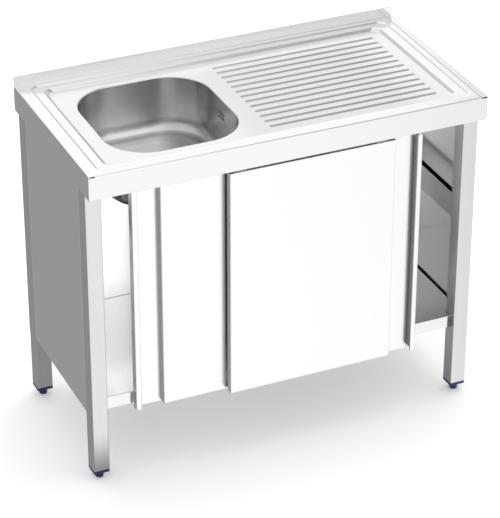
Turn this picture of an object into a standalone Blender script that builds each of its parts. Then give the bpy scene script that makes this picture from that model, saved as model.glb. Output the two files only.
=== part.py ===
"""Stainless steel sink cabinet with two sliding doors.

Metres, +Z up, +X to the right, +Y to the back. The origin is on the floor, under the middle of the top.
"""

import math

import bmesh
import bpy
from mathutils import Matrix, Vector

# Overall sizes
TOP_WIDTH = 1.000  # over the side aprons
TOP_DEPTH = 0.500  # front apron to the back of the upstand
WORK_HEIGHT = 0.840  # floor to the border of the top, feet screwed in
SHEET = 0.001  # thickness of all folded sheet
CLEARANCE = 0.0003  # gap between pieces that touch
BEND = 0.002  # outer radius of ordinary folds

# Sink top
APRON_HEIGHT = 0.0605
APRON_RETURN = 0.005  # fold under the front and side aprons
FRONT_BEND = 0.005  # radius from the plate into the front apron
UPSTAND_HEIGHT = 0.0255
SIDE_STRIP = 0.016  # top strip of a side apron
OUTER_STEP_INSET_X = 0.0303
OUTER_STEP_INSET_Y = 0.018
OUTER_STEP_DROP = 0.0025
OUTER_STEP_RUN = 0.006
LEDGE_X = 0.019  # flat between the steps, at the ends
LEDGE_Y = 0.0155  # flat between the steps, front and back
INNER_STEP_DROP = 0.006
INNER_STEP_RUN = 0.010
RECESS_CORNER = 0.020

# Bowl
BOWL_LEFT_INSET = 0.102  # left end of the top to the bowl wall
BOWL_FRONT_INSET = 0.0703  # front apron to the bowl wall
BOWL_REAR_INSET = 0.0757  # bowl wall to the back of the top
BOWL_WIDTH = 0.326
BOWL_CORNER = 0.104
BOWL_LIP = 0.005  # radius from the plate into the wall
BOWL_DEPTH = 0.1495  # recess floor to the foot of the wall
BOWL_DRAFT = 0.003
BOWL_FLOOR_RADIUS = 0.021
BOWL_FALL = 0.006  # fall of the floor to the drain
OVERFLOW_DEPTH = 0.040  # recess floor to the middle of the slots
OVERFLOW_ROWS = 2
OVERFLOW_COLUMNS = 3
OVERFLOW_PITCH = 0.010
OVERFLOW_SLOT_LENGTH = 0.007
OVERFLOW_SLOT_HEIGHT = 0.0035

# Drainer grooves
GROOVE_PITCH = 0.0279
GROOVE_WIDTH = 0.014
GROOVE_DEPTH = 0.0028
GROOVE_BOWL_GAP = 0.046  # bowl wall to the ends of the grooves
GROOVE_END_MARGIN = 0.031  # recess floor's right edge to the ends of the grooves
GROOVE_SIDE_MARGIN = 0.030  # least distance from a groove's middle to the front or back of the recess floor

# Waste
WASTE_SEAT_DIAMETER = 0.064
WASTE_SEAT_DEPTH = 0.003
WASTE_FLANGE_THICKNESS = 0.0025
WASTE_TAIL_DIAMETER = 0.046
WASTE_TAIL_WALL = 0.003
WASTE_TAIL_LENGTH = 0.040
WASTE_GRID_HOLE = 0.008
WASTE_GRID_RING = 0.0125  # radius of the ring of holes
WASTE_GASKET_HEIGHT = 0.003
WASTE_GASKET_DIAMETER = 0.062
WASTE_NUT_HEIGHT = 0.012
WASTE_NUT_DIAMETER = 0.066
WASTE_NUT_LUGS = 8

# Overflow housing
ELBOW_LENGTH = 0.050
ELBOW_HEIGHT = 0.034
ELBOW_DEPTH = 0.018
ELBOW_WALL = 0.002
SPIGOT_DIAMETER = 0.014
SPIGOT_WALL = 0.002
SPIGOT_LENGTH = 0.024

# Legs, plugs and feet
LEG_SIZE = 0.040
LEG_WALL = 0.0015
LEG_CORNER = 0.002
LEG_FRONT_SETBACK = 0.0362  # front apron to the front of the leg
LEG_REAR_SETBACK = 0.0273
FOOT_HEIGHT = 0.0195
FOOT_DIAMETER = 0.020
FOOT_EDGE = 0.0015
STEM_DIAMETER = 0.010
STEM_LENGTH = 0.045
PLUG_COLLAR = 0.008
PLUG_INSERT = 0.030

# Rails and panels
RAIL_SIZE = 0.024
RAIL_WALL = 0.0015
MID_RAIL_BOTTOM = 0.488
MID_RAIL_HEIGHT = 0.067
MID_RAIL_WIDTH = 0.014
PANEL_BOTTOM = 0.177
PANEL_FLANGE = 0.015
SHELF_TOP = 0.219
SHELF_LIP = 0.0323
SHELF_SIDE_GAP = 0.0045  # shelf to the inside of the side panel
SHELF_DOOR_GAP = 0.0018  # shelf lip to the back of the rear door
HAT_WIDTH = 0.040
HAT_HEIGHT = 0.018
HAT_FLANGE = 0.014

# Doors
DOOR_BOTTOM = 0.177
DOOR_TOP_GAP = 0.0086  # apron's lower edge to the top of the doors
DOOR_SETBACK = 0.0077  # apron's face to the front door's face
DOOR_THICKNESS = 0.0187
DOOR_SPACING = 0.0058  # back of the front door to the face of the rear door
DOOR_SIDE_GAP = 0.0012  # closed door to its leg
DOOR_OVERLAP = 0.071  # overlap of the closed doors
PULL_STRIP = 0.0145
PULL_CHANNEL = 0.056
LEFT_DOOR_OPENED = 0.069  # shown opened by this much
RIGHT_DOOR_OPENED = 0.1211

# Door running gear
TRACK_HEIGHT = 0.025
TRACK_WALL = 0.0015
TRACK_SLOT = 0.006
WHEEL_DIAMETER = 0.016
WHEEL_WIDTH = 0.0065
WHEEL_SIDE_GAP = 0.0006  # wheel to hanger
AXLE_DIAMETER = 0.006
HANGER_PLATE = 0.002
HANGER_LENGTH = 0.030
HANGER_FOOT = 0.007
HANGER_INSET = 0.032  # middle of a hanger to the end of the door's top flange
HANGER_HEAD = 0.006  # hanger above its axle
STOP_LENGTH = 0.012
STOP_GAP = 0.001  # hanger to stop at the end of the travel
GUIDE_LENGTH = 0.030
GUIDE_SHEET = 0.002
GUIDE_FIN = 0.016  # height of the fin above the foot of the doors
GUIDE_DROP = 0.0015  # gap under the doors
GUIDE_LEAF = 0.018  # height of the leaf behind the shelf lip

# Smoothness
CORNER_STEPS = 6
ARC_STEPS = 4
GROOVE_STEPS = 5
ROUND_STEPS = 24

# Places that follow from the sizes
RECESS_DEPTH = OUTER_STEP_DROP + INNER_STEP_DROP
RECESS_FLOOR = WORK_HEIGHT - RECESS_DEPTH
PLATE_HALF_X = TOP_WIDTH / 2 - SHEET - CLEARANCE
UPSTAND_FACE_Y = TOP_DEPTH / 2 - 2 * SHEET - CLEARANCE
APRON_BOTTOM = WORK_HEIGHT - APRON_HEIGHT
BOWL_LENGTH = TOP_DEPTH - BOWL_FRONT_INSET - BOWL_REAR_INSET
BOWL_CENTRE_X = -TOP_WIDTH / 2 + BOWL_LEFT_INSET + BOWL_WIDTH / 2
BOWL_CENTRE_Y = (BOWL_FRONT_INSET - BOWL_REAR_INSET) / 2
BOWL_FLOOR = RECESS_FLOOR - BOWL_DEPTH
WASTE_SEAT = BOWL_FLOOR - BOWL_FALL - WASTE_SEAT_DEPTH
RECESS_HALF_X = TOP_WIDTH / 2 - OUTER_STEP_INSET_X - OUTER_STEP_RUN - LEDGE_X - INNER_STEP_RUN
RECESS_HALF_Y = TOP_DEPTH / 2 - OUTER_STEP_INSET_Y - OUTER_STEP_RUN - LEDGE_Y - INNER_STEP_RUN

LEG_BOTTOM = FOOT_HEIGHT + PLUG_COLLAR
LEG_TOP = WORK_HEIGHT - OUTER_STEP_DROP - SHEET - CLEARANCE
LEG_OUTER_X = PLATE_HALF_X
LEG_INNER_X = LEG_OUTER_X - LEG_SIZE
LEG_CENTRE_X = LEG_OUTER_X - LEG_SIZE / 2
LEG_FRONT_Y = -TOP_DEPTH / 2 + LEG_FRONT_SETBACK
LEG_REAR_Y = TOP_DEPTH / 2 - LEG_REAR_SETBACK
FRONT_LEG_BACK_Y = LEG_FRONT_Y + LEG_SIZE
REAR_LEG_FRONT_Y = LEG_REAR_Y - LEG_SIZE
RAIL_TOP = RECESS_FLOOR - SHEET - CLEARANCE
RAIL_BOTTOM = RAIL_TOP - RAIL_SIZE
PANEL_TOP = RAIL_BOTTOM - CLEARANCE

DOOR_TOP = APRON_BOTTOM - DOOR_TOP_GAP
DOOR_WIDTH = LEG_INNER_X - DOOR_SIDE_GAP + DOOR_OVERLAP / 2
FRONT_DOOR_Y = -TOP_DEPTH / 2 + DOOR_SETBACK
DOOR_PITCH = DOOR_THICKNESS + DOOR_SPACING
REAR_DOOR_Y = FRONT_DOOR_Y + DOOR_PITCH
SHELF_FRONT_Y = REAR_DOOR_Y + DOOR_THICKNESS + SHELF_DOOR_GAP
TRACK_TOP = RAIL_BOTTOM - CLEARANCE
TRACK_BOTTOM = TRACK_TOP - TRACK_HEIGHT
AXLE_HEIGHT = TRACK_BOTTOM + TRACK_WALL + CLEARANCE + WHEEL_DIAMETER / 2

STEEL = ((0.78, 0.79, 0.80, 1.0), 0.28, 1.0)
BLUE_PLASTIC = ((0.012, 0.017, 0.080, 1.0), 0.45, 0.0)
WHITE_NYLON = ((0.80, 0.80, 0.78, 1.0), 0.45, 0.0)
BLACK_RUBBER = ((0.02, 0.02, 0.02, 1.0), 0.70, 0.0)
GREY_PLASTIC = ((0.35, 0.36, 0.37, 1.0), 0.50, 0.0)


def clear_scene():
    """Remove every object and make the two collections."""
    for old in list(bpy.data.objects):
        bpy.data.objects.remove(old, do_unlink=True)
    collections = []
    for name in ("sink_cabinet", "cutters"):
        collection = bpy.data.collections.new(name)
        bpy.context.scene.collection.children.link(collection)
        collections.append(collection)
    return collections


PARTS, CUTTERS = clear_scene()


def make_material(name, finish):
    """A Principled material from (colour, roughness, metallic)."""
    colour, roughness, metallic = finish
    material = bpy.data.materials.new(name)
    material.use_nodes = True
    shader = material.node_tree.nodes["Principled BSDF"]
    shader.inputs["Base Color"].default_value = colour
    shader.inputs["Roughness"].default_value = roughness
    shader.inputs["Metallic"].default_value = metallic
    return material


def add_part(name, bm, finish, location=(0, 0, 0), parent=None, smooth=False):
    """Make the bmesh an object in the parts collection, at a world location."""
    mesh = bpy.data.meshes.new(name)
    bm.to_mesh(mesh)
    bm.free()
    if smooth:
        mesh.shade_smooth()
        mesh.set_sharp_from_angle(angle=math.radians(35))
    mesh.materials.append(make_material(name, finish))
    part = bpy.data.objects.new(name, mesh)
    PARTS.objects.link(part)
    part.parent = parent
    part.location = Vector(location) - (parent.location if parent else Vector())
    return part


def add_empty(name, location):
    """An empty that carries the pieces of one moving group."""
    empty = bpy.data.objects.new(name, None)
    PARTS.objects.link(empty)
    empty.location = location
    return empty


def add_cutter(name, bm, location=(0, 0, 0)):
    """A hidden mesh for a Boolean, in the cutters collection."""
    mesh = bpy.data.meshes.new(name)
    bm.to_mesh(mesh)
    bm.free()
    cutter = bpy.data.objects.new(name, mesh)
    cutter.location = location
    cutter.hide_render = True
    cutter.display_type = "WIRE"
    CUTTERS.objects.link(cutter)
    return cutter


def add_boolean(part, cutter, operation="DIFFERENCE"):
    """Cut or join with the EXACT solver."""
    modifier = part.modifiers.new(operation.lower(), "BOOLEAN")
    modifier.operation = operation
    modifier.object = cutter


def add_thickness(part, thickness=SHEET):
    """Give an open surface the sheet's thickness, behind its visible side."""
    modifier = part.modifiers.new("sheet", "SOLIDIFY")
    modifier.thickness = thickness
    modifier.offset = -1.0
    modifier.use_even_offset = True
    modifier.use_quality_normals = True


def rounded_rectangle(half_x, half_y, radius, centre=(0.0, 0.0)):
    """Points of a rounded rectangle, anticlockwise."""
    points = []
    for quarter, (sign_x, sign_y) in enumerate(((1, 1), (-1, 1), (-1, -1), (1, -1))):
        for step in range(CORNER_STEPS + 1):
            angle = math.pi / 2 * (quarter + step / CORNER_STEPS)
            x = centre[0] + sign_x * (half_x - radius) + radius * math.cos(angle)
            y = centre[1] + sign_y * (half_y - radius) + radius * math.sin(angle)
            points.append((x, y))
    return points


def circle(radius, count, centre=(0.0, 0.0)):
    """Points of a circle, anticlockwise."""
    angles = [2 * math.pi * (index + 0.5) / count for index in range(count)]
    return [(centre[0] + radius * math.cos(a), centre[1] + radius * math.sin(a)) for a in angles]


def stadium(left, right, half_width, y):
    """Points of a slot with round ends along X, anticlockwise."""
    points = []
    for end, start in ((right - half_width, -90), (left + half_width, 90)):
        for step in range(GROOVE_STEPS + 1):
            angle = math.radians(start + 180 * step / GROOVE_STEPS)
            points.append((end + half_width * math.cos(angle), y + half_width * math.sin(angle)))
    return points


def add_loop(bm, points, height):
    """A closed loop of edges at one height."""
    verts = [bm.verts.new((x, y, height)) for x, y in points]
    return [bm.edges.new((verts[index - 1], verts[index])) for index in range(len(verts))]


def loft(bm, loops):
    """Skin each loop to the next."""
    for first, second in zip(loops, loops[1:]):
        bmesh.ops.bridge_loops(bm, edges=first + second)


def turn_towards(bm, direction):
    """Face an open surface so that most of its area looks along the direction."""
    bmesh.ops.recalc_face_normals(bm, faces=bm.faces)
    direction = Vector(direction)
    if sum(face.calc_area() * face.normal.dot(direction) for face in bm.faces) < 0:
        bmesh.ops.reverse_faces(bm, faces=bm.faces)


def sweep_edge(bm, edge, path):
    """Extrude an edge that runs along X through (y, z) points."""
    for y, z in path:
        geometry = bmesh.ops.extrude_edge_only(bm, edges=[edge])["geom"]
        verts = [item for item in geometry if isinstance(item, bmesh.types.BMVert)]
        for vert in verts:
            vert.co.y = y
            vert.co.z = z
        edge = bm.edges.get(verts)


def round_folds(bm, radius=BEND):
    """Round every fold of an open surface."""
    folds = [edge for edge in bm.edges if len(edge.link_faces) == 2 and edge.calc_face_angle() > 0.5]
    bmesh.ops.bevel(bm, geom=folds, offset=radius, segments=2, profile=0.5, affect="EDGES", material=-1)


def make_box(size, centre=(0, 0, 0), edge=0.0):
    """A box, with its edges rounded where an edge radius is given."""
    bm = bmesh.new()
    place = Matrix.Translation(centre) @ Matrix.Diagonal((*size, 1.0))
    bmesh.ops.create_cube(bm, size=1.0, matrix=place)
    if edge:
        bmesh.ops.bevel(bm, geom=bm.edges[:], offset=edge, segments=2, profile=0.5, affect="EDGES", material=-1)
    return bm


def make_cylinder(radius, bottom, top, axis="Z", centre=(0, 0)):
    """A capped cylinder along an axis; the centre is in the plane across it, in X, Y, Z order."""
    bm = bmesh.new()
    bmesh.ops.create_cone(
        bm, cap_ends=True, segments=ROUND_STEPS, radius1=radius, radius2=radius, depth=top - bottom
    )
    middle = (bottom + top) / 2
    if axis == "Z":
        place = Matrix.Translation((centre[0], centre[1], middle))
    else:
        place = Matrix.Translation((centre[0], middle, centre[1])) @ Matrix.Rotation(math.pi / 2, 4, "X")
    bmesh.ops.transform(bm, matrix=place, verts=bm.verts)
    return bm


def make_prism(outline, length, axis):
    """A closed outline pushed out to both sides of its plane.

    Along X the outline is in (y, z), along Y in (x, z), along Z in (x, y).
    """
    bm = bmesh.new()
    verts = [bm.verts.new((u, v, -length / 2)) for u, v in outline]
    face = bm.faces.new(verts)
    geometry = bmesh.ops.extrude_face_region(bm, geom=[face])["geom"]
    moved = [item for item in geometry if isinstance(item, bmesh.types.BMVert)]
    bmesh.ops.translate(bm, verts=moved, vec=(0, 0, length))
    turns = {
        "X": Matrix(((0, 0, 1), (1, 0, 0), (0, 1, 0))),
        "Y": Matrix(((1, 0, 0), (0, 0, 1), (0, 1, 0))),
        "Z": Matrix.Identity(3),
    }
    bmesh.ops.transform(bm, matrix=turns[axis].to_4x4(), verts=bm.verts)
    bmesh.ops.recalc_face_normals(bm, faces=bm.faces)
    return bm


def make_folded_sheet(profile, length, axis, outside, radius=BEND):
    """An open profile pushed out along an axis, folds rounded, its visible side facing outside."""
    bm = bmesh.new()
    verts = [bm.verts.new((u, v, -length / 2)) for u, v in profile]
    edges = [bm.edges.new(pair) for pair in zip(verts, verts[1:])]
    geometry = bmesh.ops.extrude_edge_only(bm, edges=edges)["geom"]
    moved = [item for item in geometry if isinstance(item, bmesh.types.BMVert)]
    bmesh.ops.translate(bm, verts=moved, vec=(0, 0, length))
    turns = {
        "X": Matrix(((0, 0, 1), (1, 0, 0), (0, 1, 0))),
        "Y": Matrix(((1, 0, 0), (0, 0, 1), (0, 1, 0))),
    }
    bmesh.ops.transform(bm, matrix=turns[axis].to_4x4(), verts=bm.verts)
    turn_towards(bm, outside)
    round_folds(bm, radius)
    return bm


def make_tube(size, wall, corner, length):
    """A square tube along Z, standing on z = 0."""
    bm = bmesh.new()
    bmesh.ops.create_grid(bm, x_segments=1, y_segments=1, size=size / 2)
    bmesh.ops.bevel(
        bm, geom=bm.verts[:], offset=corner, segments=2, profile=0.5, affect="VERTICES", material=-1
    )
    bmesh.ops.inset_region(bm, faces=bm.faces[:], thickness=wall, use_boundary=True, use_even_offset=True)
    middle = min(bm.faces, key=lambda face: face.calc_center_median().length)
    bmesh.ops.delete(bm, geom=[middle], context="FACES_KEEP_BOUNDARY")
    geometry = bmesh.ops.extrude_face_region(bm, geom=bm.faces[:])["geom"]
    moved = [item for item in geometry if isinstance(item, bmesh.types.BMVert)]
    bmesh.ops.translate(bm, verts=moved, vec=(0, 0, length))
    bmesh.ops.recalc_face_normals(bm, faces=bm.faces)
    return bm


def turn_profile(name, profile, finish, location, axis="Z", parent=None):
    """A turned piece: a profile of (radius, height) from the top down its outer side, with Screw."""
    bm = bmesh.new()
    verts = [bm.verts.new((radius, 0, height)) for radius, height in profile]
    for pair in zip(verts, verts[1:]):
        bm.edges.new(pair)
    if profile[0][0] > 0:
        bm.edges.new((verts[-1], verts[0]))
    part = add_part(name, bm, finish, location, parent)
    screw = part.modifiers.new("turn", "SCREW")
    screw.steps = ROUND_STEPS
    screw.render_steps = ROUND_STEPS
    screw.use_merge_vertices = True
    screw.merge_threshold = 0.00001
    if axis == "Y":
        part.rotation_euler = (-math.pi / 2, 0, 0)
    return part


def recess_sections():
    """Rounded rectangles down the two steps of the recess, as (half_x, half_y, corner, height)."""
    half_x = TOP_WIDTH / 2 - OUTER_STEP_INSET_X
    half_y = TOP_DEPTH / 2 - OUTER_STEP_INSET_Y
    steps = (
        (0, 0, 0),
        (OUTER_STEP_RUN, OUTER_STEP_RUN, OUTER_STEP_DROP),
        (LEDGE_X, LEDGE_Y, 0),
        (INNER_STEP_RUN, INNER_STEP_RUN, INNER_STEP_DROP),
    )
    sections = []
    height = 0.0
    for run_x, run_y, drop in steps:
        half_x -= run_x
        half_y -= run_y
        height -= drop
        sections.append((half_x, half_y, RECESS_CORNER, height))
    return sections


def groove_rows():
    """The middle lines of the drainer grooves."""
    room = 2 * (RECESS_HALF_Y - GROOVE_SIDE_MARGIN - abs(BOWL_CENTRE_Y))
    count = int(room / GROOVE_PITCH) + 1
    return [BOWL_CENTRE_Y + GROOVE_PITCH * (index - (count - 1) / 2) for index in range(count)]


def add_groove(bm, y, floor):
    """One pressed groove; returns its upper loop, which the floor is filled up to."""
    left = BOWL_CENTRE_X + BOWL_WIDTH / 2 + GROOVE_BOWL_GAP
    right = RECESS_HALF_X - GROOVE_END_MARGIN
    loops = []
    for share in (0.0, 0.35, 0.7):
        inset = share * GROOVE_WIDTH / 2
        drop = GROOVE_DEPTH * math.sin(share * math.pi / 1.4)
        loops.append(add_loop(bm, stadium(left + inset, right - inset, GROOVE_WIDTH / 2 - inset, y), floor - drop))
    loft(bm, loops)
    bmesh.ops.contextual_create(bm, geom=loops[-1])
    return loops[0]


def bowl_section(growth):
    """Rounded rectangle of the bowl, grown from the wall at its rim."""
    return rounded_rectangle(
        BOWL_WIDTH / 2 + growth,
        BOWL_LENGTH / 2 + growth,
        BOWL_CORNER + growth,
        (BOWL_CENTRE_X, BOWL_CENTRE_Y),
    )


def build_sink_top():
    """Plate with stepped recess, grooves and bowl hole, front apron and upstand, in one sheet."""
    bm = bmesh.new()
    front = -TOP_DEPTH / 2 + FRONT_BEND
    corners = [
        (PLATE_HALF_X, UPSTAND_FACE_Y),
        (-PLATE_HALF_X, UPSTAND_FACE_Y),
        (-PLATE_HALF_X, front),
        (PLATE_HALF_X, front),
    ]
    border = add_loop(bm, corners, 0.0)
    back_edge = border[1]
    front_edge = border[3]

    steps = []
    for half_x, half_y, corner, height in recess_sections():
        steps.append(add_loop(bm, rounded_rectangle(half_x, half_y, corner), height))
    bmesh.ops.triangle_fill(bm, use_beauty=True, edges=border + steps[0], normal=(0, 0, 1))
    loft(bm, steps)

    floor = -RECESS_DEPTH
    lip = []
    for step in range(ARC_STEPS + 1):
        angle = math.pi / 2 * step / ARC_STEPS
        growth = BOWL_LIP * (1 - math.sin(angle))
        lip.append(add_loop(bm, bowl_section(growth), floor - BOWL_LIP * (1 - math.cos(angle))))
    holes = list(lip[0])
    for y in groove_rows():
        holes += add_groove(bm, y, floor)
    bmesh.ops.triangle_fill(bm, use_beauty=True, edges=steps[-1] + holes, normal=(0, 0, 1))
    loft(bm, lip)

    apron = []
    for step in range(1, ARC_STEPS + 1):
        angle = math.pi / 2 * step / ARC_STEPS
        apron.append((front - FRONT_BEND * math.sin(angle), FRONT_BEND * (math.cos(angle) - 1)))
    apron.append((-TOP_DEPTH / 2, -APRON_HEIGHT))
    apron.append((-TOP_DEPTH / 2 + APRON_RETURN, -APRON_HEIGHT))
    sweep_edge(bm, front_edge, apron)
    upstand = [
        (UPSTAND_FACE_Y, UPSTAND_HEIGHT),
        (TOP_DEPTH / 2, UPSTAND_HEIGHT),
        (TOP_DEPTH / 2, -APRON_HEIGHT),
    ]
    sweep_edge(bm, back_edge, upstand)

    bmesh.ops.remove_doubles(bm, verts=bm.verts, dist=0.000001)
    turn_towards(bm, (0, 0, 1))
    top = add_part("sink_top", bm, STEEL, (0, 0, WORK_HEIGHT))
    add_thickness(top)


def build_side_apron(name, side):
    """Folded skirt with a strip that lies on the plate and a return under its lower edge."""
    outer = side * TOP_WIDTH / 2
    strip_top = WORK_HEIGHT + CLEARANCE + SHEET
    profile = [
        (outer - side * SIDE_STRIP, strip_top),
        (outer, strip_top),
        (outer, APRON_BOTTOM),
    ]
    front = -TOP_DEPTH / 2
    back = UPSTAND_FACE_Y - CLEARANCE
    bm = make_folded_sheet(profile, back - front, "Y", (side, 0, 0.5), SHEET + CLEARANCE)
    apron = add_part(name, bm, STEEL, (0, (front + back) / 2, 0))
    add_thickness(apron)


def build_bowl():
    """Deep-drawn bowl: drafted walls, rounded foot, floor falling to a seat for the waste."""
    bm = bmesh.new()
    loops = [add_loop(bm, bowl_section(0.0), RECESS_FLOOR - BOWL_LIP - CLEARANCE)]
    for step in range(ARC_STEPS + 1):
        angle = math.pi / 2 * step / ARC_STEPS
        growth = -BOWL_DRAFT - BOWL_FLOOR_RADIUS * (1 - math.cos(angle))
        height = BOWL_FLOOR + BOWL_FLOOR_RADIUS * (1 - math.sin(angle))
        loops.append(add_loop(bm, bowl_section(growth), height))
    count = len(loops[0])
    centre = (BOWL_CENTRE_X, BOWL_CENTRE_Y)
    seat_edge = WASTE_SEAT_DIAMETER / 2 + CLEARANCE
    hole = WASTE_TAIL_DIAMETER / 2 + CLEARANCE
    rings = (
        (seat_edge + WASTE_SEAT_DEPTH, BOWL_FLOOR - BOWL_FALL),
        (seat_edge, WASTE_SEAT),
        (hole, WASTE_SEAT),
    )
    for radius, height in rings:
        loops.append(add_loop(bm, circle(radius, count, centre), height))
    loft(bm, loops)
    turn_towards(bm, (0, 0, 1))
    bowl = add_part("sink_bowl", bm, STEEL, smooth=True)
    add_thickness(bowl)
    add_boolean(bowl, overflow_cutter())


def overflow_wall_x():
    """Inside of the bowl's right wall at the height of the overflow."""
    wall_height = BOWL_DEPTH - BOWL_LIP - BOWL_FLOOR_RADIUS
    share = (OVERFLOW_DEPTH - BOWL_LIP) / wall_height
    return BOWL_CENTRE_X + BOWL_WIDTH / 2 - share * BOWL_DRAFT


def overflow_cutter():
    """A grid of slots through the right wall."""
    bm = bmesh.new()
    reach = 4 * (SHEET + BOWL_DRAFT)
    for row in range(OVERFLOW_ROWS):
        for column in range(OVERFLOW_COLUMNS):
            y = BOWL_CENTRE_Y + OVERFLOW_PITCH * (column - (OVERFLOW_COLUMNS - 1) / 2)
            z = RECESS_FLOOR - OVERFLOW_DEPTH + OVERFLOW_PITCH * (row - (OVERFLOW_ROWS - 1) / 2)
            size = (reach, OVERFLOW_SLOT_LENGTH, OVERFLOW_SLOT_HEIGHT, 1.0)
            place = Matrix.Translation((overflow_wall_x(), y, z)) @ Matrix.Diagonal(size)
            bmesh.ops.create_cube(bm, size=1.0, matrix=place)
    return add_cutter("overflow_slots", bm)


def build_overflow_elbow():
    """Plastic housing behind the slots, open to the wall, with a hose spigot below."""
    wall_height = BOWL_DEPTH - BOWL_LIP - BOWL_FLOOR_RADIUS
    lean = math.atan(BOWL_DRAFT / wall_height)
    face = (overflow_wall_x() + SHEET / math.cos(lean) + CLEARANCE, BOWL_CENTRE_Y, RECESS_FLOOR - OVERFLOW_DEPTH)
    housing = make_box((ELBOW_DEPTH, ELBOW_LENGTH, ELBOW_HEIGHT), (ELBOW_DEPTH / 2, 0, 0))
    corners = [edge for edge in housing.edges if all(vert.co.x > ELBOW_DEPTH / 2 for vert in edge.verts)]
    bmesh.ops.bevel(
        housing, geom=corners, offset=2 * ELBOW_WALL, segments=2, profile=0.5, affect="EDGES", material=-1
    )
    elbow = add_part("overflow_elbow", housing, GREY_PLASTIC, face)
    elbow.rotation_euler = (0, lean, 0)
    spigot_x = ELBOW_DEPTH / 2
    spigot_low = -ELBOW_HEIGHT / 2 - SPIGOT_LENGTH
    spigot = add_cutter(
        "overflow_spigot",
        make_cylinder(SPIGOT_DIAMETER / 2, spigot_low, -ELBOW_HEIGHT / 2 + ELBOW_WALL, "Z", (spigot_x, 0)),
        face,
    )
    cavity_depth = ELBOW_DEPTH - ELBOW_WALL
    cavity_size = (2 * cavity_depth, ELBOW_LENGTH - 2 * ELBOW_WALL, ELBOW_HEIGHT - 2 * ELBOW_WALL)
    cavity = add_cutter("overflow_cavity", make_box(cavity_size), face)
    bore = add_cutter(
        "overflow_bore",
        make_cylinder(SPIGOT_DIAMETER / 2 - SPIGOT_WALL, spigot_low - SPIGOT_WALL, 0, "Z", (spigot_x, 0)),
        face,
    )
    for cutter in (spigot, cavity, bore):
        cutter.rotation_euler = elbow.rotation_euler
    add_boolean(elbow, spigot, "UNION")
    add_boolean(elbow, cavity)
    add_boolean(elbow, bore)


def build_waste():
    """Flanged waste with a grid, its gasket and its back nut."""
    centre = (BOWL_CENTRE_X, BOWL_CENTRE_Y)
    seat = WASTE_SEAT + CLEARANCE
    flange_top = WASTE_FLANGE_THICKNESS
    tail = WASTE_TAIL_DIAMETER / 2
    bore = tail - WASTE_TAIL_WALL
    grid_bottom = -WASTE_FLANGE_THICKNESS
    profile = [
        (0, 0),
        (bore, 0),
        (bore + WASTE_TAIL_WALL / 2, flange_top),
        (WASTE_SEAT_DIAMETER / 2 - flange_top / 2, flange_top),
        (WASTE_SEAT_DIAMETER / 2, flange_top / 2),
        (WASTE_SEAT_DIAMETER / 2, 0),
        (tail, 0),
        (tail, -WASTE_TAIL_LENGTH),
        (bore, -WASTE_TAIL_LENGTH),
        (bore, grid_bottom),
        (0, grid_bottom),
    ]
    waste = turn_profile("waste_fitting", profile, STEEL, (*centre, seat))
    holes = bmesh.new()
    ring = [(0.0, 0.0)] + circle(WASTE_GRID_RING, 6)
    for x, y in ring:
        bmesh.ops.create_cone(
            holes,
            cap_ends=True,
            segments=ROUND_STEPS // 2,
            radius1=WASTE_GRID_HOLE / 2,
            radius2=WASTE_GRID_HOLE / 2,
            depth=4 * WASTE_FLANGE_THICKNESS,
            matrix=Matrix.Translation((x, y, grid_bottom)),
        )
    add_boolean(waste, add_cutter("waste_grid", holes, (*centre, seat)))

    inner = tail + CLEARANCE
    gasket_top = WASTE_SEAT - SHEET - CLEARANCE
    gasket_profile = [
        (inner, 0),
        (WASTE_GASKET_DIAMETER / 2, 0),
        (WASTE_GASKET_DIAMETER / 2, -WASTE_GASKET_HEIGHT),
        (inner, -WASTE_GASKET_HEIGHT),
    ]
    turn_profile("waste_gasket", gasket_profile, BLACK_RUBBER, (*centre, gasket_top))

    nut_top = gasket_top - WASTE_GASKET_HEIGHT - CLEARANCE
    outline = []
    for lug in range(WASTE_NUT_LUGS):
        for offset, share in ((-0.3, 0.9), (-0.2, 1.0), (0.2, 1.0), (0.3, 0.9)):
            angle = 2 * math.pi * (lug + offset) / WASTE_NUT_LUGS
            radius = share * WASTE_NUT_DIAMETER / 2
            outline.append((radius * math.cos(angle), radius * math.sin(angle)))
    body = make_prism(outline, WASTE_NUT_HEIGHT, "Z")
    nut = add_part("waste_nut", body, GREY_PLASTIC, (*centre, nut_top - WASTE_NUT_HEIGHT / 2))
    hole = make_cylinder(inner, -WASTE_NUT_HEIGHT, WASTE_NUT_HEIGHT)
    add_boolean(nut, add_cutter("waste_nut_hole", hole, nut.location))


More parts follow.
